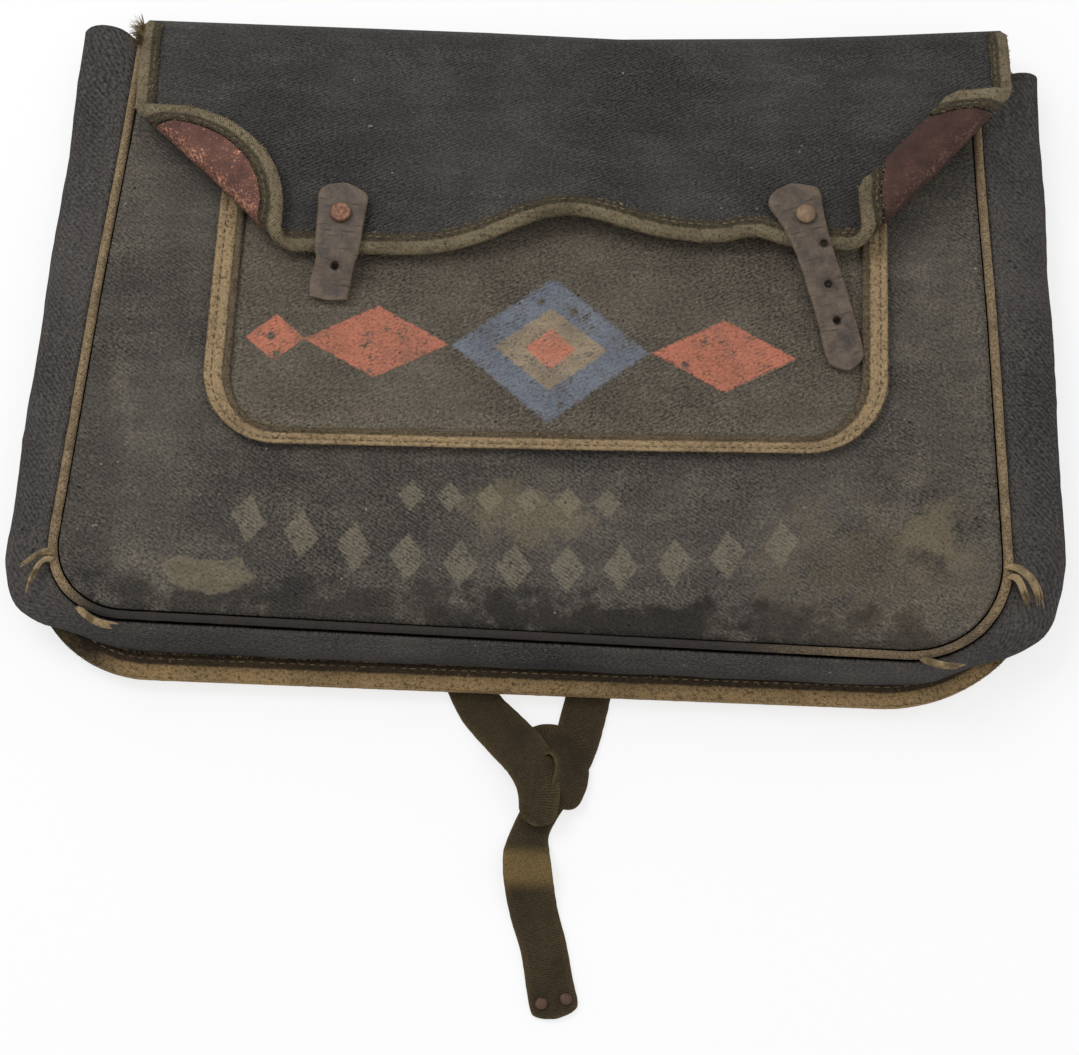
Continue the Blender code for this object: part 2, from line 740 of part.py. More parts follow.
def make_pocket_binding(finish, collection):
    """Flat tape sewn on the pocket's border, wider up the sides than along the bottom."""
    points, normals = POCKET.path(*POCKET.steps(5, 14))
    last = len(points) - 1

    def place(along, inward):
        station = round(along * last)
        (x, y), (nx, ny) = points[station], normals[station]
        width = mix(POCKET_BOTTOM_TAPE, POCKET_SIDE_TAPE, abs(nx) ** 2)
        reach = 0.8 - inward * width
        x, y = x + nx * reach, y + ny * reach
        return x, y, pocket_height(x, y) + CANVAS / 2 + GAP + TAPE / 2

    columns = [index / last for index in range(last + 1)]
    bm = grid(columns, shares(2), place)
    return piece("pocket_binding", bm, finish, collection, thickness=TAPE)


def make_tube(name, points, radius, finish, collection, tip=1.0):
    curve = bpy.data.curves.new(name, "CURVE")
    curve.dimensions = "3D"
    curve.bevel_depth = radius * MM
    curve.bevel_resolution = 2
    curve.use_fill_caps = True
    spline = curve.splines.new("POLY")
    spline.points.add(len(points) - 1)
    for index, point in enumerate(points):
        spline.points[index].co = (*(Vector(point) * MM), 1.0)
        spline.points[index].radius = mix(1.0, tip, index / (len(points) - 1))
    curve.materials.append(finish)
    obj = bpy.data.objects.new(name, curve)
    collection.objects.link(obj)
    return obj


def make_ribbon(name, rows, thickness, finish, collection, steps=3, across=2, round_end=0.0):
    """A strip along a table of x, y, z, bank and width. A round end narrows to the given width."""
    line = curve_through(rows, steps)
    run = np.gradient(line[:, :3], axis=0)
    last = len(line) - 1

    def place(along, side):
        station = round(along * last)
        x, y, z, bank, width = line[station]
        z = max(z, thickness / 2)
        way = Vector(run[station]).normalized()
        level = way.cross(Vector((0.0, 0.0, 1.0))).normalized()
        up = level.cross(way).normalized()
        lean = level * math.cos(math.radians(bank)) + up * math.sin(math.radians(bank))
        bow = way * round_end * (1.0 - (2.0 * side - 1.0) ** 2) if station == last else Vector()
        return Vector((x, y, z)) + lean * (side - 0.5) * width + bow

    columns = [index / last for index in range(last + 1)]
    bm = grid(columns, shares(across), place)
    return piece(name, bm, finish, collection, thickness=thickness)


def make_tab(name, rows, holes, finish, collection, cutters, round_end):
    """A leather tab with its punched holes."""
    level = [(x, y, z, 0.0, width) for x, y, z, width in rows]
    tab = make_ribbon(name, level, LEATHER, finish, collection, steps=2, across=4, round_end=round_end)
    bm = bmesh.new()
    for x, y in holes:
        made = bmesh.ops.create_cone(
            bm, cap_ends=True, segments=12, radius1=HOLE_RADIUS * MM, radius2=HOLE_RADIUS * MM, depth=30 * MM
        )
        bmesh.ops.translate(bm, verts=made["verts"], vec=(x * MM, y * MM, 35 * MM))
    mesh = bpy.data.meshes.new(name + "_punch")
    bm.to_mesh(mesh)
    bm.free()
    punch = bpy.data.objects.new(name + "_punch", mesh)
    punch.hide_render = True
    punch.display_type = "WIRE"
    cutters.objects.link(punch)
    cut = tab.modifiers.new("Holes", "BOOLEAN")
    cut.operation = "DIFFERENCE"
    cut.object = punch
    return tab


def make_rivet(name, x, y, base, radius, height, finish, collection):
    bm = bmesh.new()
    bmesh.ops.create_cone(
        bm, cap_ends=True, segments=20, radius1=radius, radius2=radius * 0.72, depth=height
    )
    bmesh.ops.translate(bm, verts=bm.verts, vec=(x, y, base + GAP + height / 2))
    return piece(name, bm, finish, collection)


def centre_on_origin(collection):
    """Moves the pieces together so that the box around them stands centred on the origin."""
    bpy.context.view_layer.update()
    graph = bpy.context.evaluated_depsgraph_get()
    corners = []
    for obj in collection.objects:
        made = obj.evaluated_get(graph)
        corners += [vert.co.copy() for vert in made.to_mesh().vertices]
        made.to_mesh_clear()
    low = Vector(min(c[k] for c in corners) for k in range(3))
    high = Vector(max(c[k] for c in corners) for k in range(3))
    root = bpy.data.objects.new("pack_origin", None)
    collection.objects.link(root)
    root.location = (-(low.x + high.x) / 2, -(low.y + high.y) / 2, -low.z)
    for obj in collection.objects:
        if obj is not root:
            obj.parent = root
    for obj in bpy.data.collections["cutters"].objects:
        obj.parent = root


def main():
    for obj in list(bpy.data.objects):
        bpy.data.objects.remove(obj)
    collection = bpy.data.collections.new("parachute_pack_bag")
    cutters = bpy.data.collections.new("cutters")
    for made in (collection, cutters):
        bpy.context.scene.collection.children.link(made)

    canvas = material("canvas", (0.040, 0.044, 0.052), 0.92)
    worn_canvas = material("worn canvas", (0.075, 0.070, 0.066), 0.93)
    pocket_canvas = material("pocket canvas", (0.085, 0.090, 0.075), 0.93)
    tape = material("cotton tape", (0.215, 0.170, 0.090), 0.9)
    cord = material("piping cord", (0.200, 0.150, 0.080), 0.85)
    lining = material("lining cloth", (0.150, 0.050, 0.045), 0.9)
    leather = material("leather", (0.110, 0.078, 0.056), 0.7)
    webbing = material("webbing", (0.062, 0.040, 0.020), 0.85)
    copper = material("copper", (0.350, 0.170, 0.090), 0.55, 1.0)
    dull = material("dull rivet", (0.230, 0.190, 0.140), 0.6, 1.0)

    make_back_and_flap(canvas, collection)
    make_front_panel(worn_canvas, collection)
    make_gusset(canvas, collection)
    make_pocket(pocket_canvas, collection)
    make_pocket_binding(tape, collection)
    make_flap_binding(tape, collection)
    make_body_binding(tape, collection)
    make_linings(lining, collection)
    route = [(x, y, seam_height(y)) for x, y in FRONT_PATH]
    make_tube("piping", route, PIPING_RADIUS, cord, collection)
    make_tab("tab_left", LEFT_TAB, LEFT_TAB_HOLES, leather, collection, cutters, 1.0)
    make_tab("tab_right", RIGHT_TAB, RIGHT_TAB_HOLES, leather, collection, cutters, 2.2)
    for (name, x, y, middle), finish in zip(RIVETS, (copper, dull)):
        make_rivet(name, x, y, middle + LEATHER / 2, RIVET_RADIUS, RIVET_HEIGHT, finish, collection)
    make_ribbon("strap_right", RIGHT_STRAP, WEBBING, webbing, collection, round_end=2.0)
    make_ribbon("strap_left", LEFT_STRAP, WEBBING, webbing, collection)
    make_ribbon("strap_loop", STRAP_LOOP, WEBBING, webbing, collection)
    for name, x, y in TAIL_RIVETS:
        make_rivet(name, x, y, WEBBING, TAIL_RIVET_RADIUS, TAIL_RIVET_HEIGHT, copper, collection)
    for name, points, radius in CORD_ENDS:
        make_tube(name, points, radius, cord, collection, tip=0.35)
    centre_on_origin(collection)


main()
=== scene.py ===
"""Looks of a worn canvas pack bag that lies on its back with its flap closed.

The cloth follows the lines of the solids, with a finer mesh, creases, stitches and frayed threads. Lengths
are in millimetres in the drawing's own frame, and write_mesh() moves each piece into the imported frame.
"""
import math
import random

import bmesh
import bpy
import numpy as np
from mathutils import Matrix, Vector, noise


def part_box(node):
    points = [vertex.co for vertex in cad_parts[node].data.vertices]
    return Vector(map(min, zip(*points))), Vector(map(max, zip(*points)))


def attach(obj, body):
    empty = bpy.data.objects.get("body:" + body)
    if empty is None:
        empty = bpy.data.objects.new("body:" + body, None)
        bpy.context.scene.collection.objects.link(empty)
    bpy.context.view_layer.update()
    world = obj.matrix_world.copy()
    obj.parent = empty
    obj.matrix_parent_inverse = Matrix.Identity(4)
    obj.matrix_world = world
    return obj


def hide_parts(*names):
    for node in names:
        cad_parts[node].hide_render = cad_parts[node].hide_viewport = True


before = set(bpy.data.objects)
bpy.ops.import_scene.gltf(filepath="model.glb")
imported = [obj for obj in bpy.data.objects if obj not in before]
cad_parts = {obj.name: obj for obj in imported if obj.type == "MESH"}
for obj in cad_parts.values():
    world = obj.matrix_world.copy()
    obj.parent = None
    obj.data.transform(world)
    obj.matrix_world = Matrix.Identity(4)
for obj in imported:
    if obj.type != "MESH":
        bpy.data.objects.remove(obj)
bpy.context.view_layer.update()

MM = 0.001

# Thickness of each stuff, and the air between two sewn pieces
CANVAS = 1.4
TAPE = 1.0
LINING = 1.0
WEBBING = 1.5
LEATHER = 2.0
GAP = 0.35

# Driving sizes of the bag
FRONT_HEIGHT = 27.0
PIPING_RADIUS = 1.75
SEAM_HEIGHT = 29.5
SEAM_HEIGHT_AT_MOUTH = 25.0
FRONT_LEFT = (-179.5, -167.0)
FRONT_RIGHT = (170.5, 164.0)
FRONT_BOTTOM = (-64.5, -68.5)
FRONT_TOP = (175.0, 170.0)
FRONT_CORNERS = (29.0, 40.0)
BACK_LEFT = (-189.0, -188.0)
BACK_RIGHT = (189.0, 189.0)
BACK_BOTTOM = (-80.5, -80.0)
BACK_TOP = (178.0, 178.0)
BACK_CORNERS = (46.0, 64.0)
TAPE_WIDTH = 7.5
FLANGE_LIFT = 1.35
BOTTOM_FLANGE_LIFT = 3.2
LIFT_REACH = (26.0, 14.5)
LIFT_FADE = (-74.0, -34.0)
FLAP_LEFT = (-161.0, -166.0)
FLAP_RIGHT = (175.0, 176.0)
FLAP_CORNERS = (43.0, 43.0)
FLAP_TOP = 188.5
FLAP_TOP_FOLD = 190.0
FLAP_TAPE_WIDTH = 6.5
POCKET_LEFT = (-128.5, -128.5)
POCKET_RIGHT = (125.0, 126.5)
POCKET_BOTTOM = (3.5, 10.0)
POCKET_TOP = (108.0, 108.0)
POCKET_CORNERS = (29.0, 29.0)
POCKET_SIDE_TAPE = 9.5
POCKET_BOTTOM_TAPE = 6.0

# Section of the back and flap sheet from its bottom edge round the top: y, z
SECTION = (
    (-82.0, 0.7), (0.0, 0.7), (100.0, 0.7), (150.0, 0.7), (168.0, 0.7), (179.0, 0.7), (186.5, 2.0),
    (191.5, 5.8), (194.0, 12.5), (192.8, 19.5), (187.5, 25.5), (178.0, 29.6), (160.0, 32.3),
    (135.0, 33.6), (105.0, 34.5), (70.0, 34.5),
)
TOP_OF_TURN = SECTION[8][1]

# How far the top turn stands out at places across the bag: x, outward
TOP_SKEW = (
    (-190.0, -6.0), (-106.0, -5.5), (-31.0, -5.0), (23.0, -5.5), (87.0, -2.0), (128.0, 1.5), (190.0, 7.5),
)

# Profiles of the gusset: share of the way from front to back seam, outward, height
GUSSET_SIDE = (
    (0.00, 2.2, 27.6), (0.10, 7.0, 25.2), (0.30, 12.0, 20.2), (0.55, 13.3, 14.6), (0.80, 7.5, 10.4),
    (0.96, -2.5, 8.7), (1.00, -8.8, 7.3), (1.00, -10.0, 5.5), (1.00, -7.6, 3.95), (1.00, -1.2, 3.95),
)
GUSSET_BOTTOM = (
    (0.00, 2.2, 27.6), (0.08, 2.6, 25.0), (0.20, 2.6, 20.2), (0.30, 2.2, 14.6), (0.38, 1.4, 10.6),
    (0.40, 0.8, 9.0), (0.38, 0.2, 7.4), (0.33, 0.0, 5.5), (0.40, 0.0, 3.95), (1.00, -1.2, 3.95),
)
GUSSET_TUCKED_ROWS = {6: 8.8, 7: 10.0}
GUSSET_TOP_RISE = 10.0

# Tabs, down their length: x, y, z, width
LEFT_TAB = (
    (-81.0, 107.5, 38.3, 16.0), (-81.5, 103.0, 38.3, 19.0), (-82.0, 92.0, 38.3, 18.0),
    (-82.5, 80.0, 38.3, 17.0), (-83.0, 75.0, 36.8, 15.0), (-84.5, 68.0, 33.9, 15.5),
    (-85.0, 61.0, 32.7, 14.5),
)
RIGHT_TAB = (
    (88.6, 114.8, 38.9, 18.5), (90.0, 110.0, 38.9, 21.5), (94.5, 98.0, 38.6, 16.5), (98.5, 86.0, 38.1, 14.5),
    (102.6, 74.5, 35.6, 14.5), (107.0, 60.5, 33.1, 14.5), (110.0, 47.5, 32.5, 14.5), (111.6, 41.3, 32.3, 9.5),
)
LEFT_TAB_HOLES = ((-83.0, 73.5),)
RIGHT_TAB_HOLES = ((101.5, 90.5), (103.4, 74.8), (106.9, 61.0))
HOLE_RADIUS = 1.6
RIVETS = (("rivet_left", -82.0, 94.5, 38.3), ("rivet_right", 94.5, 102.0, 38.8))
RIVET_RADIUS = 4.0
RIVET_HEIGHT = 1.8

# Straps along their centre line: x, y, z, bank in degrees, width
RIGHT_STRAP = (
    (19.5, -75.0, 0.75, 0, 16.5), (17.5, -86.0, 0.75, 0, 16.5), (14.0, -100.0, 0.75, 0, 16.5),
    (9.0, -112.0, 0.75, 0, 15.5), (3.5, -122.0, 0.75, 0, 13.5), (-0.5, -131.0, 0.9, 0, 13.5),
    (-1.8, -139.0, 3.0, 0, 16.5), (-1.4, -146.0, 5.2, 0, 17.5), (0.0, -154.0, 3.0, 0, 17.5),
    (2.0, -162.0, 0.9, 0, 17.0), (5.5, -173.0, 0.75, 0, 16.5), (8.2, -186.0, 0.75, 0, 16.8),
    (9.9, -193.0, 0.75, 0, 17.0), (10.9, -197.4, 0.75, 0, 14.0),
)
LEFT_STRAP = (
    (-27.0, -75.0, 0.75, 0, 16.5), (-20.5, -86.5, 0.9, 0, 17.0), (-11.0, -97.0, 4.6, 0, 18.0),
    (-3.0, -106.0, 7.8, 0, 18.0), (1.0, -115.0, 9.0, 0, 16.0), (1.8, -123.0, 7.6, 0, 14.5),
    (0.0, -130.0, 4.8, 0, 13.0),
)
STRAP_LOOP = (
    (-2.5, -98.5, 1.1, 0, 10.5), (4.9, -98.4, 4.0, 22, 15.0), (10.9, -101.8, 6.6, 40, 17.5),
    (13.4, -109.0, 7.0, 44, 17.0), (12.0, -117.0, 5.6, 30, 14.0), (9.2, -123.2, 3.6, 8, 9.0),
)
# Span of y across the straps' raised tail where a gold-brown highlight is painted
PAINTED_HIGHLIGHT_SPAN = (-148.0, -142.0)
TAIL_RIVETS = (("tail_rivet_left", 5.4, -192.6), ("tail_rivet_right", 14.0, -190.6))
TAIL_RIVET_RADIUS = 2.2
TAIL_RIVET_HEIGHT = 0.9

# Worn ends of the piping cord: the radius at the root, and a few points as x, y, z
CORD_ENDS = (
    ("cord_end_left_long", 1.35, (
        (-176.0, -43.0, 31.0), (-179.2, -43.2, 33.0), (-183.0, -44.4, 31.6), (-191.0, -48.7, 27.2),
    )),
    ("cord_end_left_short", 1.2, (
        (-176.6, -45.4, 31.0), (-180.2, -46.4, 32.4), (-183.4, -50.6, 29.8), (-185.2, -57.0, 27.2),
    )),
    ("cord_end_right_long", 1.3, (
        (167.6, -33.4, 31.2), (171.6, -34.4, 33.2), (176.4, -37.2, 31.6), (179.6, -41.8, 29.8),
        (181.4, -48.6, 26.4),
    )),
    ("cord_end_right_short", 1.15, (
        (168.4, -37.0, 31.0), (171.6, -38.2, 32.6), (174.8, -43.2, 30.2), (177.1, -49.8, 28.4),
    )),
    ("cord_end_bottom_right", 1.3, ((136.0, -69.6, 31.6), (145.0, -71.8, 31.2), (153.6, -70.6, 30.0))),
    ("cord_end_bottom_left", 1.2, ((-166.4, -63.2, 31.2), (-159.0, -68.2, 31.0), (-151.0, -69.6, 30.0))),
)
CORD_STRANDS = 7

# Steps of the finer mesh for each step of the drawing
FINE = 5

# Creases pressed into the cloth: from x, y to x, y, half width, height
FRONT_CREASES = (
    (-172, -30, -120, -56, 5.0, 1.0), (-150, -20, -96, -38, 6.0, -0.9), (-60, -52, 30, -60, 5.0, 0.9),
    (20, -44, 96, -54, 6.0, -0.8), (98, -60, 160, -44, 5.0, 1.2), (112, -8, 158, -34, 4.0, 0.9),
    (118, 8, 160, -10, 3.6, -0.7), (128, -44, 142, 16, 3.6, 0.8), (146, -52, 156, 4, 3.4, -0.7),
    (106, -34, 150, 10, 3.0, 0.5), (-166, 60, -150, -30, 5.0, 0.7), (-142, 110, -136, 10, 4.0, -0.6),
    (-160, 8, -118, -14, 4.0, 0.5), (136, 120, 150, 30, 4.0, 0.6), (140, 60, 166, 74, 4.0, -0.5),
    (-40, -14, 40, -22, 7.0, 0.5), (-110, -18, -60, -30, 5.0, 0.5),
)
FLAP_CREASES = (
    (-150, 168, -20, 152, 7.0, 0.8), (-90, 146, 40, 128, 8.0, 0.7), (0, 166, 120, 150, 6.0, -0.7),
    (10, 150, 160, 160, 6.0, 0.7), (-120, 118, -60, 128, 6.0, 0.6), (30, 120, 100, 112, 6.0, -0.6),
    (60, 136, 150, 140, 5.0, 0.5), (-60, 110, -20, 160, 6.0, -0.5),
)

# Wide swells of the cloth: height, x, half width, y, half height, and how far x leans with y
FRONT_SWELLS = (
    (-2.2, 20.0, 110.0, -15.0, 55.0, 0.0), (1.3, -110.0, 30.0, -35.0, 14.0, 0.0),
    (-1.4, -60.0, 34.0, -45.0, 10.0, 0.0), (1.1, 130.0, 16.0, -25.0, 30.0, -0.6),
)
FLAP_SWELLS = (
    (1.2, -125.0, 26.0, 128.0, 26.0, 0.0), (-0.9, 30.0, 46.0, 150.0, 18.0, 0.0),
    (0.9, -20.0, 18.0, 140.0, 26.0, 0.5),
)

# Lower edge of the flap: its height on the left and right, and its two rises as height, x, half width
FLAP_EDGE_HEIGHTS = (81.5, 91.5)
FLAP_EDGE_RISES = ((12.5, 2.0, 30.0), (3.2, 76.0, 10.0))

# The photograph's view: half its angle, its turns about x, y and z in degrees, and its place
HALF_VIEW = 14.0
VIEW_TURNS = (("X", 19.6), ("Y", -0.343), ("Z", 2.367))
VIEW_PLACE = (-6.69, -290.11, 773.65)


def smooth_step(low, high, value):
    share = min(max((value - low) / (high - low), 0.0), 1.0)
    return share * share * (3.0 - 2.0 * share)


def bump(value, centre, width):
    return math.exp(-(((value - centre) / width) ** 2))


def mix(low, high, share):
    return low + (high - low) * share


def wave(x, y, size, seed):
    """Smooth noise from -1 to 1 whose hills are about the given size."""
    return noise.noise(Vector((x / size, y / size, seed)))


def crease(x, y, start_x, start_y, end_x, end_y, width, height):
    """Height of a crease that fades towards both ends."""
    run_x, run_y = end_x - start_x, end_y - start_y
    length = math.hypot(run_x, run_y)
    along = ((x - start_x) * run_x + (y - start_y) * run_y) / length**2
    if not -0.1 < along < 1.1:
        return 0.0
    off = ((x - start_x) * run_y - (y - start_y) * run_x) / length + 3.0 * wave(x, y, 30.0, 4.2)
    if abs(off) > 3.0 * width:
        return 0.0
    fade = smooth_step(-0.1, 0.3, along) * smooth_step(1.1, 0.7, along)
    return height * fade * math.exp(-((off / width) ** 2))


def creases(x, y, rows):
    return sum(crease(x, y, *row) for row in rows)


def swells(x, y, rows):
    return sum(
        height * bump(x + lean * y, at_x, wide) * bump(y, at_y, high)
        for height, at_x, wide, at_y, high, lean in rows
    )


def lengths(points):
    """Length along a row of points, at each of them."""
    steps = np.linalg.norm(np.diff(np.array(points, float), axis=0), axis=1)
    return np.concatenate([[0.0], np.cumsum(steps)])


def curve_through(rows, steps):
    """Points on a Catmull-Rom curve through the rows, with the given steps between two rows."""
    rows = np.array(rows, float)
    ends = np.vstack([2 * rows[0] - rows[1], rows, 2 * rows[-1] - rows[-2]])
    points = []
    for before, start, end, after in zip(ends, ends[1:], ends[2:], ends[3:]):
        for share in np.arange(steps) / steps:
            bend = (2 * before - 5 * start + 4 * end - after) * share**2
            twist = (3 * start - before - 3 * end + after) * share**3
            points.append(0.5 * (2 * start + (end - before) * share + bend + twist))
    return np.array(points + [rows[-1]])


def shares(run, first=0.0, last=0.0, corner=3):
    """Shares from 0 to 1: corner steps inside the first and last shares, and run steps between."""
    found = list(np.linspace(first, 1.0 - last, run + 1))
    if first:
        found = list(np.linspace(0.0, first, corner + 1)[:-1]) + found
    if last:
        found = found + list(np.linspace(1.0 - last, 1.0, corner + 1)[1:])
    return found


class Outline:
    """A panel with two rounded lower corners. Each side is a function of the share along it."""

    def __init__(self, left, right, bottom, top, radii):
        self.left, self.right, self.bottom, self.top, self.radii = left, right, bottom, top, radii

    def point(self, across, up, inset=0.0):
        low_x = self.left(up) + inset
        high_x = self.right(up) - inset
        low_y = self.bottom(across) + inset
        x = mix(low_x, high_x, across)
        y = mix(low_y, self.top(across), up)
        left_radius, right_radius = (radius - inset for radius in self.radii)
        corners = ((low_x + left_radius, left_radius, -1), (high_x - right_radius, right_radius, 1))
        for centre_x, radius, side in corners:
            over = side * (x - centre_x) / radius
            under = (low_y + radius - y) / radius
            if over > 0 and under > 0:
                x = centre_x + side * radius * over * math.sqrt(1 - under**2 / 2)
                y = low_y + radius - radius * under * math.sqrt(1 - over**2 / 2)
        return x, y

    def corner_shares(self):
        """The shares of the width that the corners take, and of the height that the larger one takes."""
        width = self.right(0) - self.left(0)
        height = self.top(0.5) - self.bottom(0.5)
        return self.radii[0] / width, self.radii[1] / width, max(self.radii) / height

    def steps(self, side_steps, bottom_steps, corner=4):
        """Shares up the sides and along the bottom, closer together round the corners."""
        left, right, high = self.corner_shares()
        up = shares(side_steps, first=high, corner=corner)
        along = shares(bottom_steps, first=left, last=right, corner=corner)
        return up, along

    def path(self, up, along):
        """Points and outward normals down the left side, along the bottom and up the right side."""
        points = [self.point(0, share) for share in reversed(up)]
        points += [self.point(share, 0) for share in along[1:-1]]
        points += [self.point(1, share) for share in up]
        points = np.array(points)
        run = np.gradient(points, axis=0)
        normals = np.column_stack([run[:, 1], -run[:, 0]])
        return points, normals / np.linalg.norm(normals, axis=1)[:, None]


def straight(ends):
    return lambda share: mix(*ends, share)


def panel(left, right, bottom, top, radii):
    """An outline whose four sides are straight, each given by its two ends."""
    return Outline(*(straight(ends) for ends in (left, right, bottom, top)), radii)


FRONT = panel(FRONT_LEFT, FRONT_RIGHT, FRONT_BOTTOM, FRONT_TOP, FRONT_CORNERS)
BACK = panel(BACK_LEFT, BACK_RIGHT, BACK_BOTTOM, BACK_TOP, BACK_CORNERS)
POCKET = panel(POCKET_LEFT, POCKET_RIGHT, POCKET_BOTTOM, POCKET_TOP, POCKET_CORNERS)
FLAP_CORNER_SHARE = FLAP_CORNERS[0] / (FLAP_RIGHT[0] - FLAP_LEFT[0])
SHEET_ACROSS = shares(22 * FINE, first=FLAP_CORNER_SHARE, last=FLAP_CORNER_SHARE, corner=4 * FINE)
FRONT_PATH, FRONT_NORMALS = FRONT.path(FRONT.steps(9 * FINE, 1, corner=4 * FINE)[0], SHEET_ACROSS)
BACK_PATH, BACK_NORMALS = BACK.path(BACK.steps(9 * FINE, 1, corner=4 * FINE)[0], SHEET_ACROSS)
POCKET_PATH = POCKET.path(*POCKET.steps(120, 240, corner=50))[0]
FINE_BACK_PATH = BACK.path(*BACK.steps(60, 90, corner=12))[0]
FINE_FRONT_PATH = FRONT.path(*FRONT.steps(240, 360, corner=60))[0]


def distance_to(path, x, y):
    return float(np.hypot(path[:, 0] - x, path[:, 1] - y).min())


def flange_lift(x, y):
    """How far the back panel's edge nearest to this point is lifted by the tape and straps under it."""
    nearest = np.hypot(FINE_BACK_PATH[:, 0] - x, FINE_BACK_PATH[:, 1] - y).argmin()
    return mix(BOTTOM_FLANGE_LIFT, FLANGE_LIFT, smooth_step(*LIFT_FADE, FINE_BACK_PATH[nearest, 1]))


def seam_height(y):
    return mix(SEAM_HEIGHT, SEAM_HEIGHT_AT_MOUTH, smooth_step(55.0, 140.0, y))


def front_height(x, y):
    """Height of the middle of the front panel's cloth, with its creases."""
    to_mouth = smooth_step(60.0, 150.0, y)
    inside = distance_to(FINE_FRONT_PATH, x, y)
    height = FRONT_HEIGHT - 4.5 * to_mouth
    height += (seam_height(y) - height) * math.exp(-inside / 13.0) + swells(x, y, FRONT_SWELLS)
    under_flap = smooth_step(110.0, 90.0, y)
    slack = 0.35 * wave(x, y, 34.0, 1.0) + 0.16 * wave(x, y, 12.0, 2.0) + creases(x, y, FRONT_CREASES)
    return height + slack * smooth_step(1.0, 12.0, inside) * mix(0.3, 1.0, under_flap)


def pocket_height(x, y):
    """Height of the middle of the pocket's cloth, which stands a little off the front panel."""
    edge = distance_to(POCKET_PATH, x, y)
    ripple = 0.22 * wave(x, y, 26.0, 5.0) + 0.1 * wave(x, y, 9.0, 6.0)
    return front_height(x, y) + CANVAS + GAP + (1.3 + ripple) * smooth_step(2.0, 30.0, edge)


class Section:
    """The back and flap sheet laid out flat as x, length along and offset, and its way into space."""

    def __init__(self):
        self.line = curve_through(SECTION, 24)
        self.along = lengths(self.line)
        run = np.gradient(self.line, self.along, axis=0)
        self.run = run / np.linalg.norm(run, axis=1)[:, None]
        self.top = int(np.argmax(self.line[:, 0]))
        self.turn_start = float(np.interp(BACK_TOP[0], self.line[: self.top, 0], self.along[: self.top]))
        self.turn_end = self.at_flap(FLAP_TOP)

    def at_flap(self, y):
        """Length along the sheet where the flap reaches this y."""
        return float(np.interp(-y, -self.line[self.top :, 0], self.along[self.top :]))

    def place(self, x, along, offset):
        y, z = (np.interp(along, self.along, self.line[:, k]) for k in (0, 1))
        run_y, run_z = (np.interp(along, self.along, self.run[:, k]) for k in (0, 1))
        if along < self.turn_start:
            inside = distance_to(FINE_BACK_PATH, x, y)
            z += flange_lift(x, y) * smooth_step(*LIFT_REACH, inside) * smooth_step(190.0, 184.0, y)
        else:
            z += self.relief(x, y) * smooth_step(26.0, 33.0, z)
        skew_x, skew = zip(*TOP_SKEW)
        weight = smooth_step(178.0, 190.0, y) if z < TOP_OF_TURN else smooth_step(90.0, 180.0, y)
        lean = np.interp(x, skew_x, skew) * weight
        return Vector((x, y + lean + run_z * offset, z - run_y * offset))

    def relief(self, x, y):
        """The flap's own rise and fall: its lifted lower edge, slack between the sides, and creases."""
        low = smooth_step(135.0, 98.0, y)
        lifted = (4.2 * bump(x, 3.0, 34.0) + 1.8 * bump(x, 74.0, 15.0)) * low
        slack = 0.3 * wave(x, y, 38.0, 11.0) + 0.12 * wave(x, y, 13.0, 12.0)
        return lifted + slack + swells(x, y, FLAP_SWELLS) + creases(x, y, FLAP_CREASES)


SHEET = Section()


def flap_edge(share):
    """Length along the sheet of the flap's lower edge, at a share of its width, as a negative number."""
    x = mix(FLAP_LEFT[0], FLAP_RIGHT[0], share)
    y = mix(*FLAP_EDGE_HEIGHTS, smooth_step(-60.0, 60.0, x))
    return -SHEET.at_flap(y + sum(rise * bump(x, centre, wide) for rise, centre, wide in FLAP_EDGE_RISES))


def flap_top(share):
    return -SHEET.turn_end


FLAP = Outline(straight(FLAP_LEFT), straight(FLAP_RIGHT), flap_edge, flap_top, FLAP_CORNERS)
FLAP_UP = FLAP.steps(5 * FINE, 1, corner=4 * FINE)[0]


class Fold:
    """A corner of the flap turned up along a line, and where a band is given, rolled under again."""

    def __init__(self, start, end, radius, band=None, band_radius=None):
        self.start = np.array([start[0], SHEET.at_flap(start[1])])
        end = np.array([end[0], SHEET.at_flap(end[1])])
        way = (end - self.start) / np.linalg.norm(end - self.start)
        side = math.copysign(1.0, start[0])
        self.beyond = np.array([-way[1], way[0]])
        if self.beyond[0] * side < 0:
            self.beyond = -self.beyond
        self.radius, self.band, self.band_radius = radius, band, band_radius
        self.turned = math.pi * radius
        self.tucked = self.turned + band if band else None

    def distance(self, x, along):
        return (x - self.start[0]) * self.beyond[0] + (along - self.start[1]) * self.beyond[1]

    def cuts(self):
        """Distances beyond the fold line at which the cloth needs an edge."""
        found = list(np.linspace(0.0, self.turned, 11))
        if self.band:
            found += list(np.linspace(self.tucked, self.tucked + math.pi * self.band_radius, 7))
        return found

    def apply(self, x, along, offset):
        far = self.distance(x, along)
        if far <= 0:
            return x, along, offset
        if far < self.turned:
            angle = far / self.radius
            reach = (self.radius - offset) * math.sin(angle)
            height = self.radius - (self.radius - offset) * math.cos(angle)
        elif not self.band or far < self.tucked:
            reach = self.turned - far
            height = 2 * self.radius - offset
        else:
            turn = self.band_radius
            angle = (far - self.tucked) / turn
            middle = 2 * self.radius - turn
            if angle < math.pi:
                reach = -self.band - (turn - offset) * math.sin(angle)
                height = middle + (turn - offset) * math.cos(angle)
            else:
                reach = -self.band + far - self.tucked - math.pi * turn
                height = middle - turn + offset
        if far > self.turned:
            height += 0.35 * wave(x, along, 16.0, 21.0) * smooth_step(0.0, 8.0, far - self.turned)
        moved = np.array([x, along]) + self.beyond * (reach - far)
        return moved[0], moved[1], height


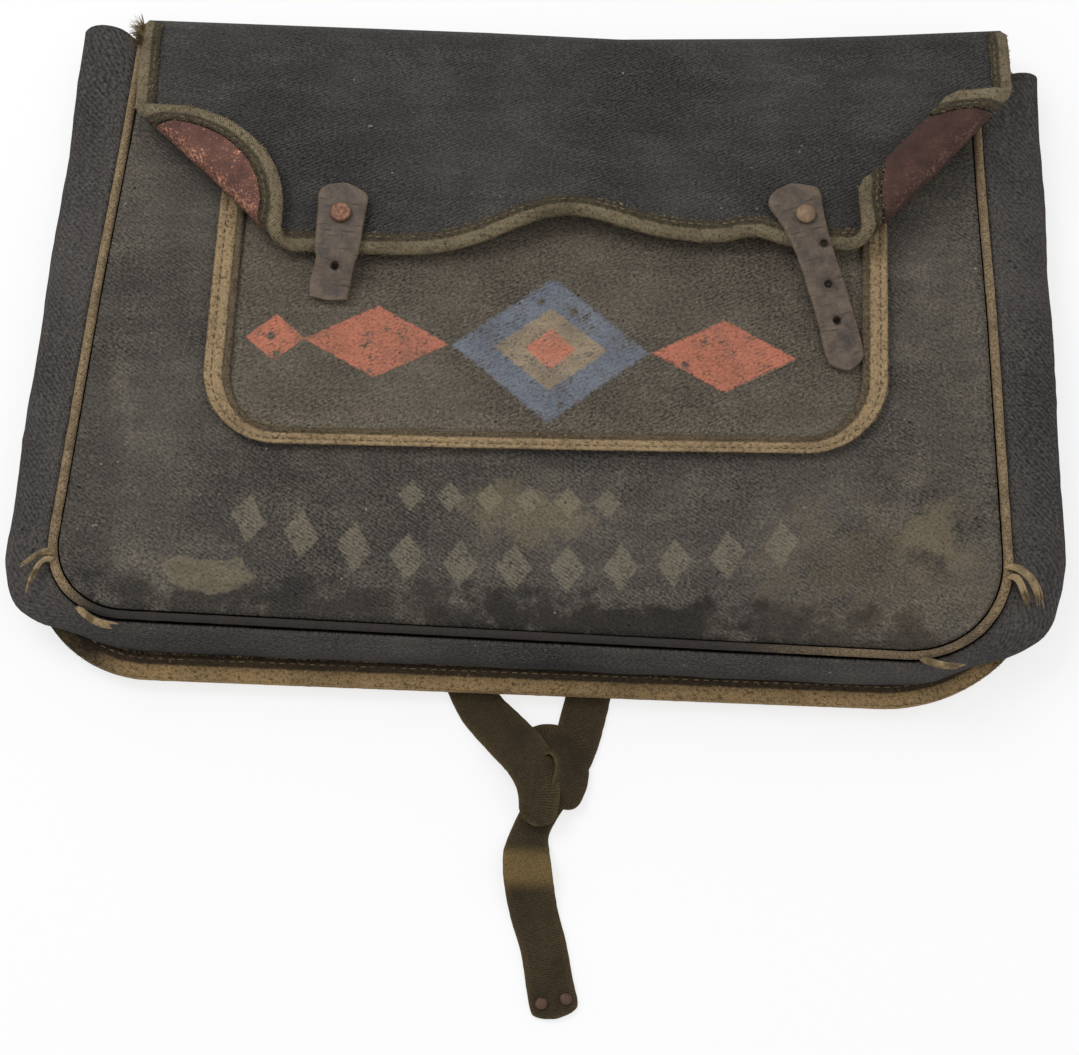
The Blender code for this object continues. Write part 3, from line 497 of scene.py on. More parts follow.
LEFT_FOLD = Fold((-160.5, 143.5), (-107.5, 91.0), radius=3.2)
RIGHT_FOLD = Fold((175.0, 163.0), (118.5, 102.0), radius=3.9, band=8.0, band_radius=1.7)
FOLDS = (LEFT_FOLD, RIGHT_FOLD)


def flat_to_space(x, along, offset):
    flat = (x, along, offset)
    for fold in FOLDS:
        flat = fold.apply(*flat)
    return SHEET.place(*flat)


def into_space(bm):
    """Folds and drapes a mesh that was built in the flat sheet's x, length and offset."""
    for fold in FOLDS:
        normal = Vector((*fold.beyond, 0.0))
        for cut in fold.cuts():
            far = {vert: fold.distance(vert.co.x, vert.co.y) - cut for vert in bm.verts}
            faces = [
                face
                for face in bm.faces
                if min(far[v] for v in face.verts) < 0.0 < max(far[v] for v in face.verts)
            ]
            edges = {edge for face in faces for edge in face.edges}
            verts = {vert for face in faces for vert in face.verts}
            place = Vector((*fold.start, 0.0)) + normal * cut
            cloth = faces + list(edges) + list(verts)
            bmesh.ops.bisect_plane(bm, geom=cloth, dist=1e-4, plane_co=place, plane_no=normal)
    for vert in bm.verts:
        vert.co = flat_to_space(*vert.co)


def cloth_layer(bm):
    """The points' place on the cloth: across and along in metres, then wear from 0 to 1, which on the piping
    is its dark canvas tone and painted shade along the bottom.
    """
    return bm.verts.layers.float_vector.get("cloth") or bm.verts.layers.float_vector.new("cloth")


def grid(columns, rows, place, cloth=None):
    """A grid whose point at column share and row share goes to place(column, row)."""
    bm = bmesh.new()
    bmesh.ops.create_grid(bm, x_segments=len(columns) - 1, y_segments=len(rows) - 1, size=0.5)
    layer = cloth_layer(bm)
    for vert in bm.verts:
        column = columns[round((vert.co.x + 0.5) * (len(columns) - 1))]
        row = rows[round((vert.co.y + 0.5) * (len(rows) - 1))]
        vert.co = Vector(place(column, row))
        if cloth:
            across, along, wear = cloth(column, row, vert.co)
            vert[layer] = Vector((across * MM, along * MM, wear))
    return bm


def thicken_flat(bm, thickness, middle, wear):
    """Gives a flat sheet its thickness about the given offset, and marks its points' place on the cloth."""
    area = sum(face.calc_area() for face in bm.faces) * MM**2
    bmesh.ops.solidify(bm, geom=bm.faces[:], thickness=thickness)
    offsets = [v.co.z for v in bm.verts]
    shift = middle - (min(offsets) + max(offsets)) / 2
    bmesh.ops.translate(bm, verts=bm.verts, vec=(0.0, 0.0, shift))
    layer = cloth_layer(bm)
    for vert in bm.verts:
        vert[layer] = Vector((vert.co.x * MM, -vert.co.y * MM, wear(vert.co.x, vert.co.y)))
    return area


def closed_rings(rings, cloth, merged=1e-5):
    """A closed solid through a row of closed rings, with the cloth's place at each station and place."""
    count, last = len(rings[0]), len(rings) - 1
    bm = bmesh.new()
    bmesh.ops.create_grid(bm, x_segments=count, y_segments=last, size=0.5)
    layer = cloth_layer(bm)
    for vert in bm.verts:
        place = round((vert.co.x + 0.5) * count) % count
        station = round((vert.co.y + 0.5) * last)
        vert.co = Vector(rings[station][place])
        across, along, wear = cloth(station, place)
        vert[layer] = Vector((across * MM, along * MM, wear))
    bmesh.ops.remove_doubles(bm, verts=bm.verts, dist=merged)
    bmesh.ops.holes_fill(bm, edges=bm.edges, sides=0)
    return bm


def swept(rings, along, around, worn=None):
    """A closed solid whose cloth runs along its stations and around its rings."""
    worn = worn or [0.0] * len(rings)
    return closed_rings(rings, lambda station, place: (along[station], around[place], worn[station]))


def strands(paths, radii, sides=5):
    """Closed threads in one mesh, each along its own path of as many points as radii has."""
    stations = len(radii)
    total = stations * len(paths)
    bm = bmesh.new()
    bmesh.ops.create_grid(bm, x_segments=sides, y_segments=total - 1, size=0.5)
    row_of = {vert: round((vert.co.y + 0.5) * (total - 1)) for vert in bm.verts}
    place_of = {vert: round((vert.co.x + 0.5) * sides) % sides for vert in bm.verts}
    between = [face for face in bm.faces if len({row_of[v] // stations for v in face.verts}) > 1]
    frames = []
    for path in paths:
        line = np.array(path, float)
        run = np.gradient(line, axis=0)
        for point, way in zip(line, run):
            way = Vector(way).normalized()
            side = way.cross(Vector((0.13, 0.21, 1.0))).normalized()
            frames.append((Vector(point), side, way.cross(side)))
    for vert in bm.verts:
        row = row_of[vert]
        angle = 2 * math.pi * place_of[vert] / sides
        point, side, up = frames[row]
        radius = radii[row % stations]
        vert.co = point + (side * math.cos(angle) + up * math.sin(angle)) * radius
    bmesh.ops.delete(bm, geom=between, context="FACES")
    bmesh.ops.remove_doubles(bm, verts=bm.verts, dist=1e-5)
    return bm


LEFT_RIVET_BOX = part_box("rivet_left")
LEFT_RIVET_MIDDLE = (LEFT_RIVET_BOX[0] + LEFT_RIVET_BOX[1]) / 2 / MM
SHIFT = Vector((LEFT_RIVET_MIDDLE.x - RIVETS[0][1], LEFT_RIVET_MIDDLE.y - RIVETS[0][2], 0.0))


def mesh_of(name, bm):
    mesh = bpy.data.meshes.new(name)
    bm.to_mesh(mesh)
    bm.free()
    return mesh


def add_object(name, data):
    obj = bpy.data.objects.new(name, data)
    bpy.context.scene.collection.objects.link(obj)
    return obj


def shade(mesh):
    """Smooth, but for its sharp edges."""
    mesh.shade_smooth()
    mesh.set_sharp_from_angle(angle=math.radians(50))


def write_mesh(name, bm, finish, slot, stands_for=(), thickness=None, open_sheet=False):
    """Makes the object of a mesh in millimetres. A thickness turns an open sheet into a solid."""
    bmesh.ops.recalc_face_normals(bm, faces=bm.faces)
    if not thickness and not open_sheet and bm.calc_volume(signed=True) < 0:
        bmesh.ops.reverse_faces(bm, faces=bm.faces)
    bmesh.ops.translate(bm, verts=bm.verts, vec=SHIFT)
    bmesh.ops.scale(bm, verts=bm.verts, vec=(MM, MM, MM))
    mesh = mesh_of(name, bm)
    mesh.materials.append(finish)
    shade(mesh)
    obj = add_object(name, mesh)
    if thickness:
        solid = obj.modifiers.new("Solidify", "SOLIDIFY")
        solid.thickness = thickness * MM
        solid.offset = 0.0
        solid.use_even_offset = True
    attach(obj, "root")
    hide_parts(*stands_for)
    return obj


class Term:
    """A socket of a material's nodes, whose sums and products add Math nodes."""

    def __init__(self, paint, socket):
        self.paint, self.socket = paint, socket

    def math(self, operation, *others):
        return self.paint.math(operation, self, *others)

    def __add__(self, other):
        return self.math("ADD", other)

    def __sub__(self, other):
        return self.math("SUBTRACT", other)

    def __rsub__(self, other):
        return self.paint.math("SUBTRACT", other, self)

    def __mul__(self, other):
        return self.math("MULTIPLY", other)

    def __truediv__(self, other):
        return self.math("DIVIDE", other)

    def __pow__(self, other):
        return self.math("POWER", other)

    __radd__ = __add__
    __rmul__ = __mul__

    def sine(self):
        return self.math("SINE")

    def size(self):
        return self.math("ABSOLUTE")

    def top(self, other):
        return self.math("MAXIMUM", other)

    def step(self, low, high):
        """Smoothly from 0 at low to 1 at high."""
        return self.paint.node(
            "ShaderNodeMapRange",
            {"interpolation_type": "SMOOTHSTEP"},
            {"Value": self, "From Min": low, "From Max": high},
        )


class Paint:
    """A material, with one method that adds any node to it."""

    def __init__(self, name):
        self.material = bpy.data.materials.new(name)
        self.material.use_nodes = True
        self.tree = self.material.node_tree
        self.tree.nodes.clear()
        place = self.node("ShaderNodeAttribute", {"attribute_name": "cloth"}, out="Vector")
        self.across, self.along, self.wear = (
            self.node("ShaderNodeSeparateXYZ", {}, {0: place}, out=k) for k in range(3)
        )
        self.cloth = self.node("ShaderNodeCombineXYZ", {}, {0: self.across, 1: self.along})
        self.space = self.node("ShaderNodeTexCoord", out="Object")

    def node(self, kind, settings=None, sockets=None, out=0):
        made = self.tree.nodes.new(kind)
        for key, value in (settings or {}).items():
            setattr(made, key, value)
        for key, value in (sockets or {}).items():
            if isinstance(value, Term):
                self.tree.links.new(value.socket, made.inputs[key])
            else:
                made.inputs[key].default_value = value
        return Term(self, made.outputs[out])

    def math(self, operation, *values):
        return self.node("ShaderNodeMath", {"operation": operation}, dict(enumerate(values)))

    def noise(self, where, scale, detail=3.0, roughness=0.55):
        sockets = {"Vector": where, "Scale": scale, "Detail": detail, "Roughness": roughness}
        return self.node("ShaderNodeTexNoise", {}, sockets)

    def cells(self, where, scale):
        """How far a point is from the nearest of many scattered points."""
        return self.node("ShaderNodeTexVoronoi", {}, {"Vector": where, "Scale": scale}, out="Distance")

    def stretched(self, across, along, third=0.0):
        """The place on the cloth with each direction scaled on its own."""
        sockets = {0: self.across * across, 1: self.along * along, 2: third}
        return self.node("ShaderNodeCombineXYZ", {}, sockets)

    def mix_value(self, factor, first, second):
        return self.node("ShaderNodeMix", {"data_type": "FLOAT"}, {0: factor, 2: first, 3: second})

    def mix(self, factor, first, second):
        return self.node("ShaderNodeMix", {"data_type": "RGBA"}, {0: factor, 6: first, 7: second}, out=2)

    def finish(self, colour, roughness, height=None, distance=0.0002, strength=1.0, **constant):
        """Ends the material: height goes through one Bump node, and the constants onto the shader."""
        sockets = {"Base Color": colour, "Roughness": roughness, **constant}
        if height is not None:
            sockets["Normal"] = self.node(
                "ShaderNodeBump", {}, {"Height": height, "Distance": distance, "Strength": strength}
            )
        shader = self.node("ShaderNodeBsdfPrincipled", {}, sockets)
        output = self.tree.nodes.new("ShaderNodeOutputMaterial")
        self.tree.links.new(shader.socket, output.inputs["Surface"])
        return self.material


def tint(red, green, blue):
    """A colour given as it is seen, 0 to 255, in the shader's linear numbers."""
    parts = []
    for part in (red, green, blue):
        part /= 255.0
        parts.append(part / 12.92 if part < 0.04 else ((part + 0.055) / 1.055) ** 2.4)
    return (*parts, 1.0)


TWILL_PITCH = 0.00138
DOWN_TO_RIGHT = math.radians(33.0)
UP_TO_RIGHT = math.radians(-28.0)


def twill(paint, angle, plain_share):
    """Ribs of a twill weave, 0 in the grooves and 1 on the ribs, broken up by uneven yarn. Also the yarn."""
    wobble = paint.noise(paint.cloth, 240.0, 3.0, 0.6) * 0.9
    square = paint.across * math.sin(angle) + paint.along * math.cos(angle)
    down = paint.across * math.cos(angle) - paint.along * math.sin(angle)
    rib = ((square / TWILL_PITCH + wobble) * (2 * math.pi)).sine() * 0.5 + 0.5
    place = paint.node("ShaderNodeCombineXYZ", {}, {0: square * 1500.0, 1: down * 620.0})
    yarn = paint.noise(place, 1.0, 2.0, 0.75).step(0.28, 0.72)
    plain = paint.noise(paint.cloth, 34.0, 3.0, 0.6).step(0.38, 0.62) * 0.5 + 0.5
    return paint.mix_value(plain * plain_share, rib, yarn), yarn


MATT = {"Specular IOR Level": 0.14}


def spot(paint, x, y, wide, high, edge=0.5, wobble=None):
    """1 inside an oval on the cloth, falling to 0 outside it."""
    far = ((paint.across - x * MM) / (wide * MM)) ** 2 + ((paint.along - y * MM) / (high * MM)) ** 2
    if wobble is not None:
        far = far + wobble
    return far.step(1.0 + edge, 1.0 - edge)


def lozenge(paint, x, y, wide, high, ragged):
    far = ((paint.across - x * MM) / (wide * MM)).size() + ((paint.along - y * MM) / (high * MM)).size()
    return (far + ragged).step(1.04, 0.97)


def canvas(name, dark, light, dust, dust_share, angle, plain_share, decorate=None):
    """Worn cotton twill: dark yarns, dust and rubbed fibres on the ribs, pale along creases and edges."""
    paint = Paint(name)
    rib, yarn = twill(paint, angle, plain_share)
    cloud = paint.noise(paint.cloth, 16.0, 5.0, 0.62)
    blotch = paint.noise(paint.cloth, 52.0, 5.0, 0.68)
    grain = paint.noise(paint.cloth, 800.0, 3.0, 0.8)
    streak = paint.noise(paint.stretched(26.0, 150.0), 1.0, 4.0, 0.65)
    speck = grain.step(0.40, 0.62)
    base = paint.mix(cloud.step(0.32, 0.7), dark, paint.mix(0.45, dark, light))
    base = paint.mix((rib * 0.42 + yarn * 0.30 + speck * 0.42 - 0.16).top(0.0), base, light)
    rubbed = (blotch * 0.55 + streak * 0.45 + cloud * 0.25 + speck * 0.1 - 0.16).step(0.40, 0.74) * dust_share
    rubbed = rubbed * (rib * 0.35 + yarn * 0.35 + speck * 0.3) + paint.wear * (speck * 0.55 + yarn * 0.3)
    base = paint.mix(rubbed.math("MINIMUM", 0.92), base, dust)
    if decorate:
        base = decorate(paint, base, rib * 0.5 + yarn * 0.5, blotch)
    lint = paint.cells(paint.cloth, 190.0).step(0.11, 0.05)
    lint = lint * paint.noise(paint.cloth, 70.0, 1.0).step(0.58, 0.66)
    base = paint.mix(lint * 0.65, base, tint(158, 152, 138))
    pits = paint.cells(paint.stretched(1.0, 1.0, 0.3), 170.0).step(0.13, 0.05)
    pits = pits * paint.noise(paint.cloth, 40.0, 1.0).step(0.5, 0.62)
    base = paint.mix(pits * 0.75, base, tint(18, 17, 17))
    gaps = paint.noise(paint.cloth, 900.0, 3.0, 0.85).step(0.50, 0.68)
    base = paint.mix(gaps * 0.55, base, tint(18, 17, 18))
    ruck = paint.noise(paint.stretched(80.0, 120.0), 1.0, 3.0, 0.5)
    height = rib * 0.5 + yarn * 0.45 + grain * 0.5 + ruck * 1.6 + blotch * 0.9 - pits * 0.6 - gaps * 0.3
    return paint.finish(base, 0.95, height, 0.00034, **MATT)


def pocket_paint(paint, base, rib, blotch):
    """Five worn lozenges in a row: blue with a tan one and a red core in the middle, red beside it."""
    ragged = (paint.noise(paint.cloth, 420.0, 4.0, 0.8) - 0.5) * 0.2
    flake = (paint.noise(paint.cloth, 110.0, 5.0, 0.78) + rib * 0.16).step(0.38, 0.56)
    holes = paint.cells(paint.cloth, 95.0).step(0.10, 0.22)
    soil = paint.noise(paint.cloth, 46.0, 5.0, 0.7).step(0.66, 0.5)
    keep = flake * holes * (soil * 0.45 + 0.5) * (rib * 0.3 + 0.75)
    keep = keep.math("MINIMUM", 0.92)
    red = paint.mix(blotch.step(0.35, 0.7), tint(188, 112, 90), tint(156, 94, 76))
    red = paint.mix(rib * 0.35, red, tint(196, 140, 112))
    blue = paint.mix(blotch.step(0.3, 0.7), tint(116, 124, 138), tint(82, 92, 112))
    blue = paint.mix(rib * 0.3, blue, tint(150, 144, 128))
    tan = paint.mix(blotch.step(0.3, 0.7), tint(162, 142, 114), tint(122, 108, 88))
    for x, wide, high, colour in (
        (-104.0, 11.0, 9.5, red),
        (-66.0, 27.0, 14.5, red),
        (-0.5, 37.0, 29.0, blue),
        (-0.5, 21.5, 16.5, tan),
        (-0.5, 9.5, 8.5, red),
        (65.0, 27.0, 14.5, red),
    ):
        mark = lozenge(paint, x, 46.0, wide, high, ragged)
        base = paint.mix(mark * keep, base, colour)
    return base


def panel_paint(paint, base, rib, blotch):
    """A short row and a sagging row of faded lozenges, discoloured patches, a dark ring mark, a pale patch, a
    darker strip by the left seam, and painted shade along the lower edge.
    """
    grain = paint.noise(paint.cloth, 800.0, 3.0, 0.8)
    ragged = (paint.noise(paint.cloth, 380.0, 3.0, 0.7) - 0.5) * 0.3
    flake = (paint.noise(paint.cloth, 150.0, 5.0, 0.75) + rib * 0.2).step(0.40, 0.62)
    for pitch, low, high, wide, tall, centre, sag in (
        (14.5, -57.0, 33.0, 5.0, 6.0, -13.5, 0.0),
        (19.5, -118.0, 100.0, 6.5, 9.5, -40.0, 1.45),
    ):
        middle = (low + high) / 2
        line = centre * MM + ((paint.across - middle * MM) ** 2) * sag
        beat = ((paint.across - low * MM) / (pitch * MM)).math("FRACT") - 0.5
        far = (beat * (pitch / wide)).size() + ((paint.along - line) / (tall * MM)).size()
        within = ((paint.across - middle * MM) / ((high - low) / 2 * MM)).size().step(1.0, 0.99)
        mark = (far + ragged).step(1.08, 0.92) * within * flake * (rib * 0.3 + 0.26)
        base = paint.mix(mark, base, tint(136, 128, 108))
    soft = (blotch - 0.5) * 5.0 + (paint.noise(paint.cloth, 78.0, 4.0, 0.6) - 0.5) * 7.0
    for x, y, wide, high, share, colour in (
        (140.0, -22.0, 12.0, 13.0, 0.42, tint(128, 116, 88)),
        (128.0, -40.0, 44.0, 26.0, 0.36, tint(112, 100, 80)),
        (-5.0, -18.0, 22.0, 10.0, 0.36, tint(136, 124, 94)),
        (150.0, 30.0, 18.0, 60.0, 0.24, tint(116, 108, 94)),
        (-150.0, 40.0, 20.0, 70.0, 0.20, tint(104, 100, 92)),
        # painted shade: these two low rows darken the panel along its bottom edge, where it turns down to the
        # seam
        (-60.0, -62.0, 130.0, 13.0, 0.72, tint(34, 32, 31)),
        (60.0, -62.0, 90.0, 11.0, 0.68, tint(36, 33, 31)),
        (-168.0, 10.0, 12.0, 80.0, 0.35, tint(44, 43, 44)),
    ):
        stain_and_shade = spot(paint, x, y, wide, high, 0.7, soft) * share
        base = paint.mix(stain_and_shade * (grain * 0.8 + 0.35), base, colour)
    patch = spot(paint, -122.0, -48.0, 17.0, 6.5, 0.2, soft * 0.6)
    base = paint.mix(patch * (grain * 0.5 + 0.2), base, tint(128, 119, 97))
    ring = spot(paint, 140.0, -22.0, 12.5, 11.0, 0.25, soft * 0.4)
    ring = ring * (1.0 - spot(paint, 140.0, -22.0, 10.0, 8.5, 0.3, soft * 0.4))
    return paint.mix(ring * (blotch.step(0.4, 0.6) * 0.3 + 0.05), base, tint(40, 36, 33))


def tape_profile(half_inner, width):
    """Out and up of each point of a folded tape's section, from inside round the outside."""
    outer = half_inner + TAPE
    lower = (
        (0.0, -half_inner), (-width * 0.5, -half_inner), (-width, -half_inner),
        (-width - 0.15, -half_inner - TAPE * 0.5), (-width + 0.1, -outer + 0.1),
        (-width * 0.75, -outer - 0.2), (-width * 0.48, -outer + 0.22), (-width * 0.2, -outer - 0.3),
        (GAP + TAPE * 0.8, -half_inner * 0.85),
    )
    upper = [(out, -up) for out, up in reversed(lower)]
    return [(GAP, 0.0), *lower, (GAP + TAPE, 0.0), *upper]


def tape_finish(name, light, dark, dirt, dirt_share, crown, roll, inner, ribbed):
    """Cotton tape: a rubbed crown between the two places across it that roll gives, and a dark inner part."""
    paint = Paint(name)
    warp = (paint.across * (2 * math.pi / 0.0009)).sine()
    weft = (paint.along * (2 * math.pi / 0.0009)).sine()
    weave = warp * weft * 0.5 + 0.5
    cord = ((paint.across + paint.along * 0.7) * (2 * math.pi / 0.00105)).sine() * 0.5 + 0.5
    fluff = paint.noise(paint.space, 1200.0, 3.0, 0.8)
    blotch = paint.noise(paint.space, 110.0, 4.0, 0.7)
    grime = paint.noise(paint.space, 34.0, 4.0, 0.65)
    base = paint.mix(fluff.step(0.38, 0.62), dark, light)
    base = paint.mix(weave * 0.3, base, light)
    low, high = (place * MM for place in roll)
    rolled = paint.along.step(low - 0.0006, low + 0.0006) * paint.along.step(high + 0.0006, high - 0.0006)
    base = paint.mix((1.0 - rolled) * inner, base, dirt)
    rubbed = rolled * (fluff * 0.9 + blotch * 0.9 + cord * 0.3 - 0.42)
    base = paint.mix(rubbed.math("MINIMUM", 0.85).top(0.0), base, crown)
    dirty = (grime * 0.6 + blotch * 0.5).step(0.46, 0.72) * dirt_share + paint.wear
    base = paint.mix((dirty * (1.0 - fluff * 0.4)).math("MINIMUM", 1.0), base, dirt)
    glint = paint.cells(paint.space, 420.0).step(0.2, 0.05) * blotch.step(0.45, 0.62)
    base = paint.mix(glint * (1.0 - paint.wear) * 0.5, base, tint(206, 180, 134))
    gaps = paint.noise(paint.space, 760.0, 2.0, 0.8).step(0.50, 0.70)
    base = paint.mix(gaps * 0.65, base, tint(28, 25, 20))
    height = weave * 0.4 + cord * rolled * ribbed + fluff * 1.5 + blotch * 1.6 - gaps * 0.6
    return paint.finish(base, 0.95, height, 0.0004, **MATT)


def roll_of(half_inner, width):
    """Where the rolled edge of a folded tape starts and stops, along its section."""
    around = lengths(tape_profile(half_inner, width))
    return around[7], around[13]


def cord_finish():
    """Piping: a narrow strip wrapped round a cord, rubbed pale on its crown and dirty in its hollows, and
    along the bottom seam a dark canvas tone with painted shade.
    """
    paint = Paint("piping cloth")
    twist = ((paint.across * 0.9 + paint.along * 1.3) * (2 * math.pi / 0.0016)).sine() * 0.5 + 0.5
    fluff = paint.noise(paint.space, 1200.0, 3.0, 0.75)
    blotch = paint.noise(paint.space, 60.0, 4.0, 0.7)
    base = paint.mix(fluff.step(0.34, 0.66), tint(78, 65, 49), tint(146, 126, 98))
    base = paint.mix(blotch.step(0.46, 0.70) * 0.7, base, tint(62, 53, 42))
    base = paint.mix(twist * 0.25, base, tint(152, 132, 102))
    # Along the bottom seam this darkens the piping to a canvas tone, partly painted shade where the panel's
    # edge overhangs it
    base = paint.mix(paint.wear * (1.05 - fluff * 0.2), base, tint(44, 42, 42))
    return paint.finish(base, 0.94, twist * 0.7 + fluff + blotch, 0.0003, **MATT)


def lining_finish(name, dark, light, pale, pale_share):
    """Red lining worn through its face, with pale pinkish flecks at the edges and along rubs."""
    paint = Paint(name)
    blotch = paint.noise(paint.space, 90.0, 5.0, 0.7)
    fleck = paint.noise(paint.space, 900.0, 4.0, 0.85)
    grain = paint.noise(paint.space, 1500.0, 2.0, 0.7)
    base = paint.mix(blotch.step(0.3, 0.7), dark, light)
    base = paint.mix(grain.step(0.4, 0.7) * 0.4, base, dark)
    worn = (fleck + paint.wear * 0.13 + blotch * 0.25).step(0.69, 0.80)
    base = paint.mix(worn * pale_share, base, pale)
    base = paint.mix(paint.cells(paint.space, 300.0).step(0.14, 0.05) * 0.5, base, tint(44, 33, 30))
    return paint.finish(base, 0.85, blotch * 0.9 + grain * 0.6 + worn * 0.8, 0.0004, **MATT)


def leather_finish():
    """Old strap leather: dark brown, cracked, rubbed to tan along its edges and folds."""
    paint = Paint("worn leather")
    cloud = paint.noise(paint.cloth, 130.0, 5.0, 0.7)
    grain = paint.noise(paint.cloth, 1000.0, 3.0, 0.75)
    split = paint.noise(paint.stretched(90.0, 760.0), 1.0, 2.0, 0.5).step(0.60, 0.72)
    split = split * cloud.step(0.38, 0.56)
    base = paint.mix(cloud.step(0.3, 0.7), tint(44, 35, 28), tint(94, 79, 65))
    base = paint.mix(grain.step(0.50, 0.74) * 0.4, base, tint(116, 98, 80))
    base = paint.mix(split * 0.55, base, tint(30, 23, 19))
    base = paint.mix(paint.wear * (grain * 0.7 + 0.05), base, tint(116, 96, 74))
    height = grain * 0.5 + cloud * 1.9 - split * 1.2
    coat = {"Coat Weight": 0.05, "Coat Roughness": 0.5}
    return paint.finish(base, 0.5 + cloud * 0.3, height, 0.0004, **coat)


def webbing_finish():
    """Woven cotton webbing: fine ribs across it, a painted gold-brown highlight where the tail stands up,
    with firm edges.
    """
    paint = Paint("webbing weave")
    pick = (paint.along * (2 * math.pi / 0.00085)).sine() * 0.5 + 0.5
    end = ((paint.across + paint.along * 0.3) * (2 * math.pi / 0.0010)).sine() * 0.5 + 0.5
    weave = pick * 0.5 + pick.math("MULTIPLY", end) * 0.5
    blotch = paint.noise(paint.space, 70.0, 4.0, 0.65)
    fluff = paint.noise(paint.space, 1200.0, 3.0, 0.75)
    base = paint.mix(weave * 0.6 + fluff.step(0.3, 0.7) * 0.4, tint(34, 28, 19), tint(78, 67, 47))
    base = paint.mix(blotch.step(0.4, 0.7) * 0.6, base, tint(40, 33, 24))
    # painted highlight: a gold-brown band across the tail where it bulges up towards the lamp, placed by y
    level = paint.node("ShaderNodeSeparateXYZ", {}, {0: paint.space}, out=1)
    low, high = ((y + SHIFT.y) * MM for y in PAINTED_HIGHLIGHT_SPAN)
    painted_highlight = level.step(low - 0.007, low) * level.step(high + 0.006, high)
    base = paint.mix(painted_highlight * (fluff * 0.9 + blotch * 0.5 - 0.3), base, tint(138, 114, 70))
    base = paint.mix(paint.wear * (fluff * 0.5), base, tint(122, 104, 70))
    return paint.finish(base, 0.92, weave * 0.8 + fluff * 0.8, 0.00026, **MATT)


def metal_finish(name, bright, dull, rust, rust_share):
    """Aged metal with a flaked dull skin."""
    paint = Paint(name)
    flake = paint.noise(paint.space, 700.0, 5.0, 0.75)
    cloud = paint.noise(paint.space, 260.0, 3.0, 0.6)
    skin = flake.step(0.44, 0.56) * rust_share
    base = paint.mix(cloud, bright, dull)
    base = paint.mix(skin, base, rust)
    height = flake * 0.8 + cloud * 0.4
    return paint.finish(base, skin * 0.3 + 0.42, height, 0.0004, Metallic=(1.0 - skin) * 0.85)


def thread_finish(name, light, dark):
    paint = Paint(name)
    tone = paint.noise(paint.space, 160.0, 3.0, 0.7)
    fine = paint.noise(paint.space, 2400.0, 2.0, 0.6)
    base = paint.mix(tone.step(0.35, 0.65), dark, light)
    return paint.finish(base, 0.9, fine, 0.0001, **MATT)


FLAP_CANVAS = canvas(
    "flap canvas", tint(24, 24, 25), tint(73, 71, 69), tint(104, 100, 92), 0.48, UP_TO_RIGHT, 0.25
)
PANEL_CANVAS = canvas(
    "panel canvas", tint(29, 28, 28), tint(93, 88, 82), tint(128, 120, 105), 0.62, DOWN_TO_RIGHT, 0.5,
    panel_paint,
)
GUSSET_CANVAS = canvas(
    "gusset canvas", tint(27, 27, 28), tint(79, 75, 73), tint(104, 99, 92), 0.45, DOWN_TO_RIGHT, 0.35
)
POCKET_CANVAS = canvas(
    "pocket cloth", tint(41, 37, 33), tint(108, 100, 88), tint(134, 124, 108), 0.6, UP_TO_RIGHT, 0.8,
    pocket_paint,
)
FLAP_TAPE = tape_finish(
    "flap tape", tint(120, 108, 86), tint(58, 51, 40), tint(44, 39, 31), 0.65,
    tint(152, 138, 110), roll_of(CANVAS / 2 + GAP, FLAP_TAPE_WIDTH), 0.6, 1.2,
)
POCKET_TAPE = tape_finish(
    "pocket tape", tint(154, 136, 110), tint(86, 74, 57), tint(60, 51, 39), 0.5,
    tint(176, 150, 112), (0.0, 6.6), 0.6, 0.4,
)
BODY_TAPE = tape_finish(
    "body tape", tint(120, 102, 76), tint(68, 56, 41), tint(50, 42, 33), 0.5,
    tint(176, 146, 102), roll_of(CANVAS + GAP * 2, TAPE_WIDTH), 0.75, 0.3,
)
PIPING = cord_finish()
LEFT_LINING = lining_finish(
    "red lining", tint(76, 54, 50), tint(112, 78, 70), tint(200, 142, 116), 0.85
)
RIGHT_LINING = lining_finish(
    "dark red lining", tint(60, 45, 41), tint(86, 60, 54), tint(150, 116, 102), 0.45
)
WORN_LEATHER = leather_finish()
WEBBING_WEAVE = webbing_finish()
COPPER = metal_finish("aged copper", tint(158, 116, 90), tint(112, 80, 62), tint(92, 62, 46), 0.9)
DULL_METAL = metal_finish("dull rivet metal", tint(150, 124, 98), tint(112, 94, 76), tint(92, 74, 58), 0.6)
TAIL_METAL = metal_finish("dark rivet metal", tint(96, 72, 58), tint(70, 54, 44), tint(78, 52, 42), 0.8)
PALE_THREAD = thread_finish("pale thread", tint(116, 102, 78), tint(74, 65, 49))
TAN_THREAD = thread_finish("frayed thread", tint(140, 122, 88), tint(80, 68, 48))
CORD_THREAD = thread_finish("cord thread", tint(150, 130, 98), tint(92, 78, 56))


def flap_wear(x, along):
    """Rubbed edges and folds of the back and flap sheet."""
    if along < SHEET.turn_end:
        return 0.25 * bump(along, SHEET.at_flap(FLAP_TOP_FOLD), 9.0)
    near = distance_to(FLAP_EDGE, x, along)
    folded = max(bump(fold.distance(x, along), fold.turned / 2, 3.0) for fold in FOLDS)
    return max(0.3 * math.exp(-near / 9.0), 0.6 * folded)


FLAP_EDGE = FLAP.path(FLAP.steps(30, 60, corner=14)[0], shares(90))[0] * (1, -1)


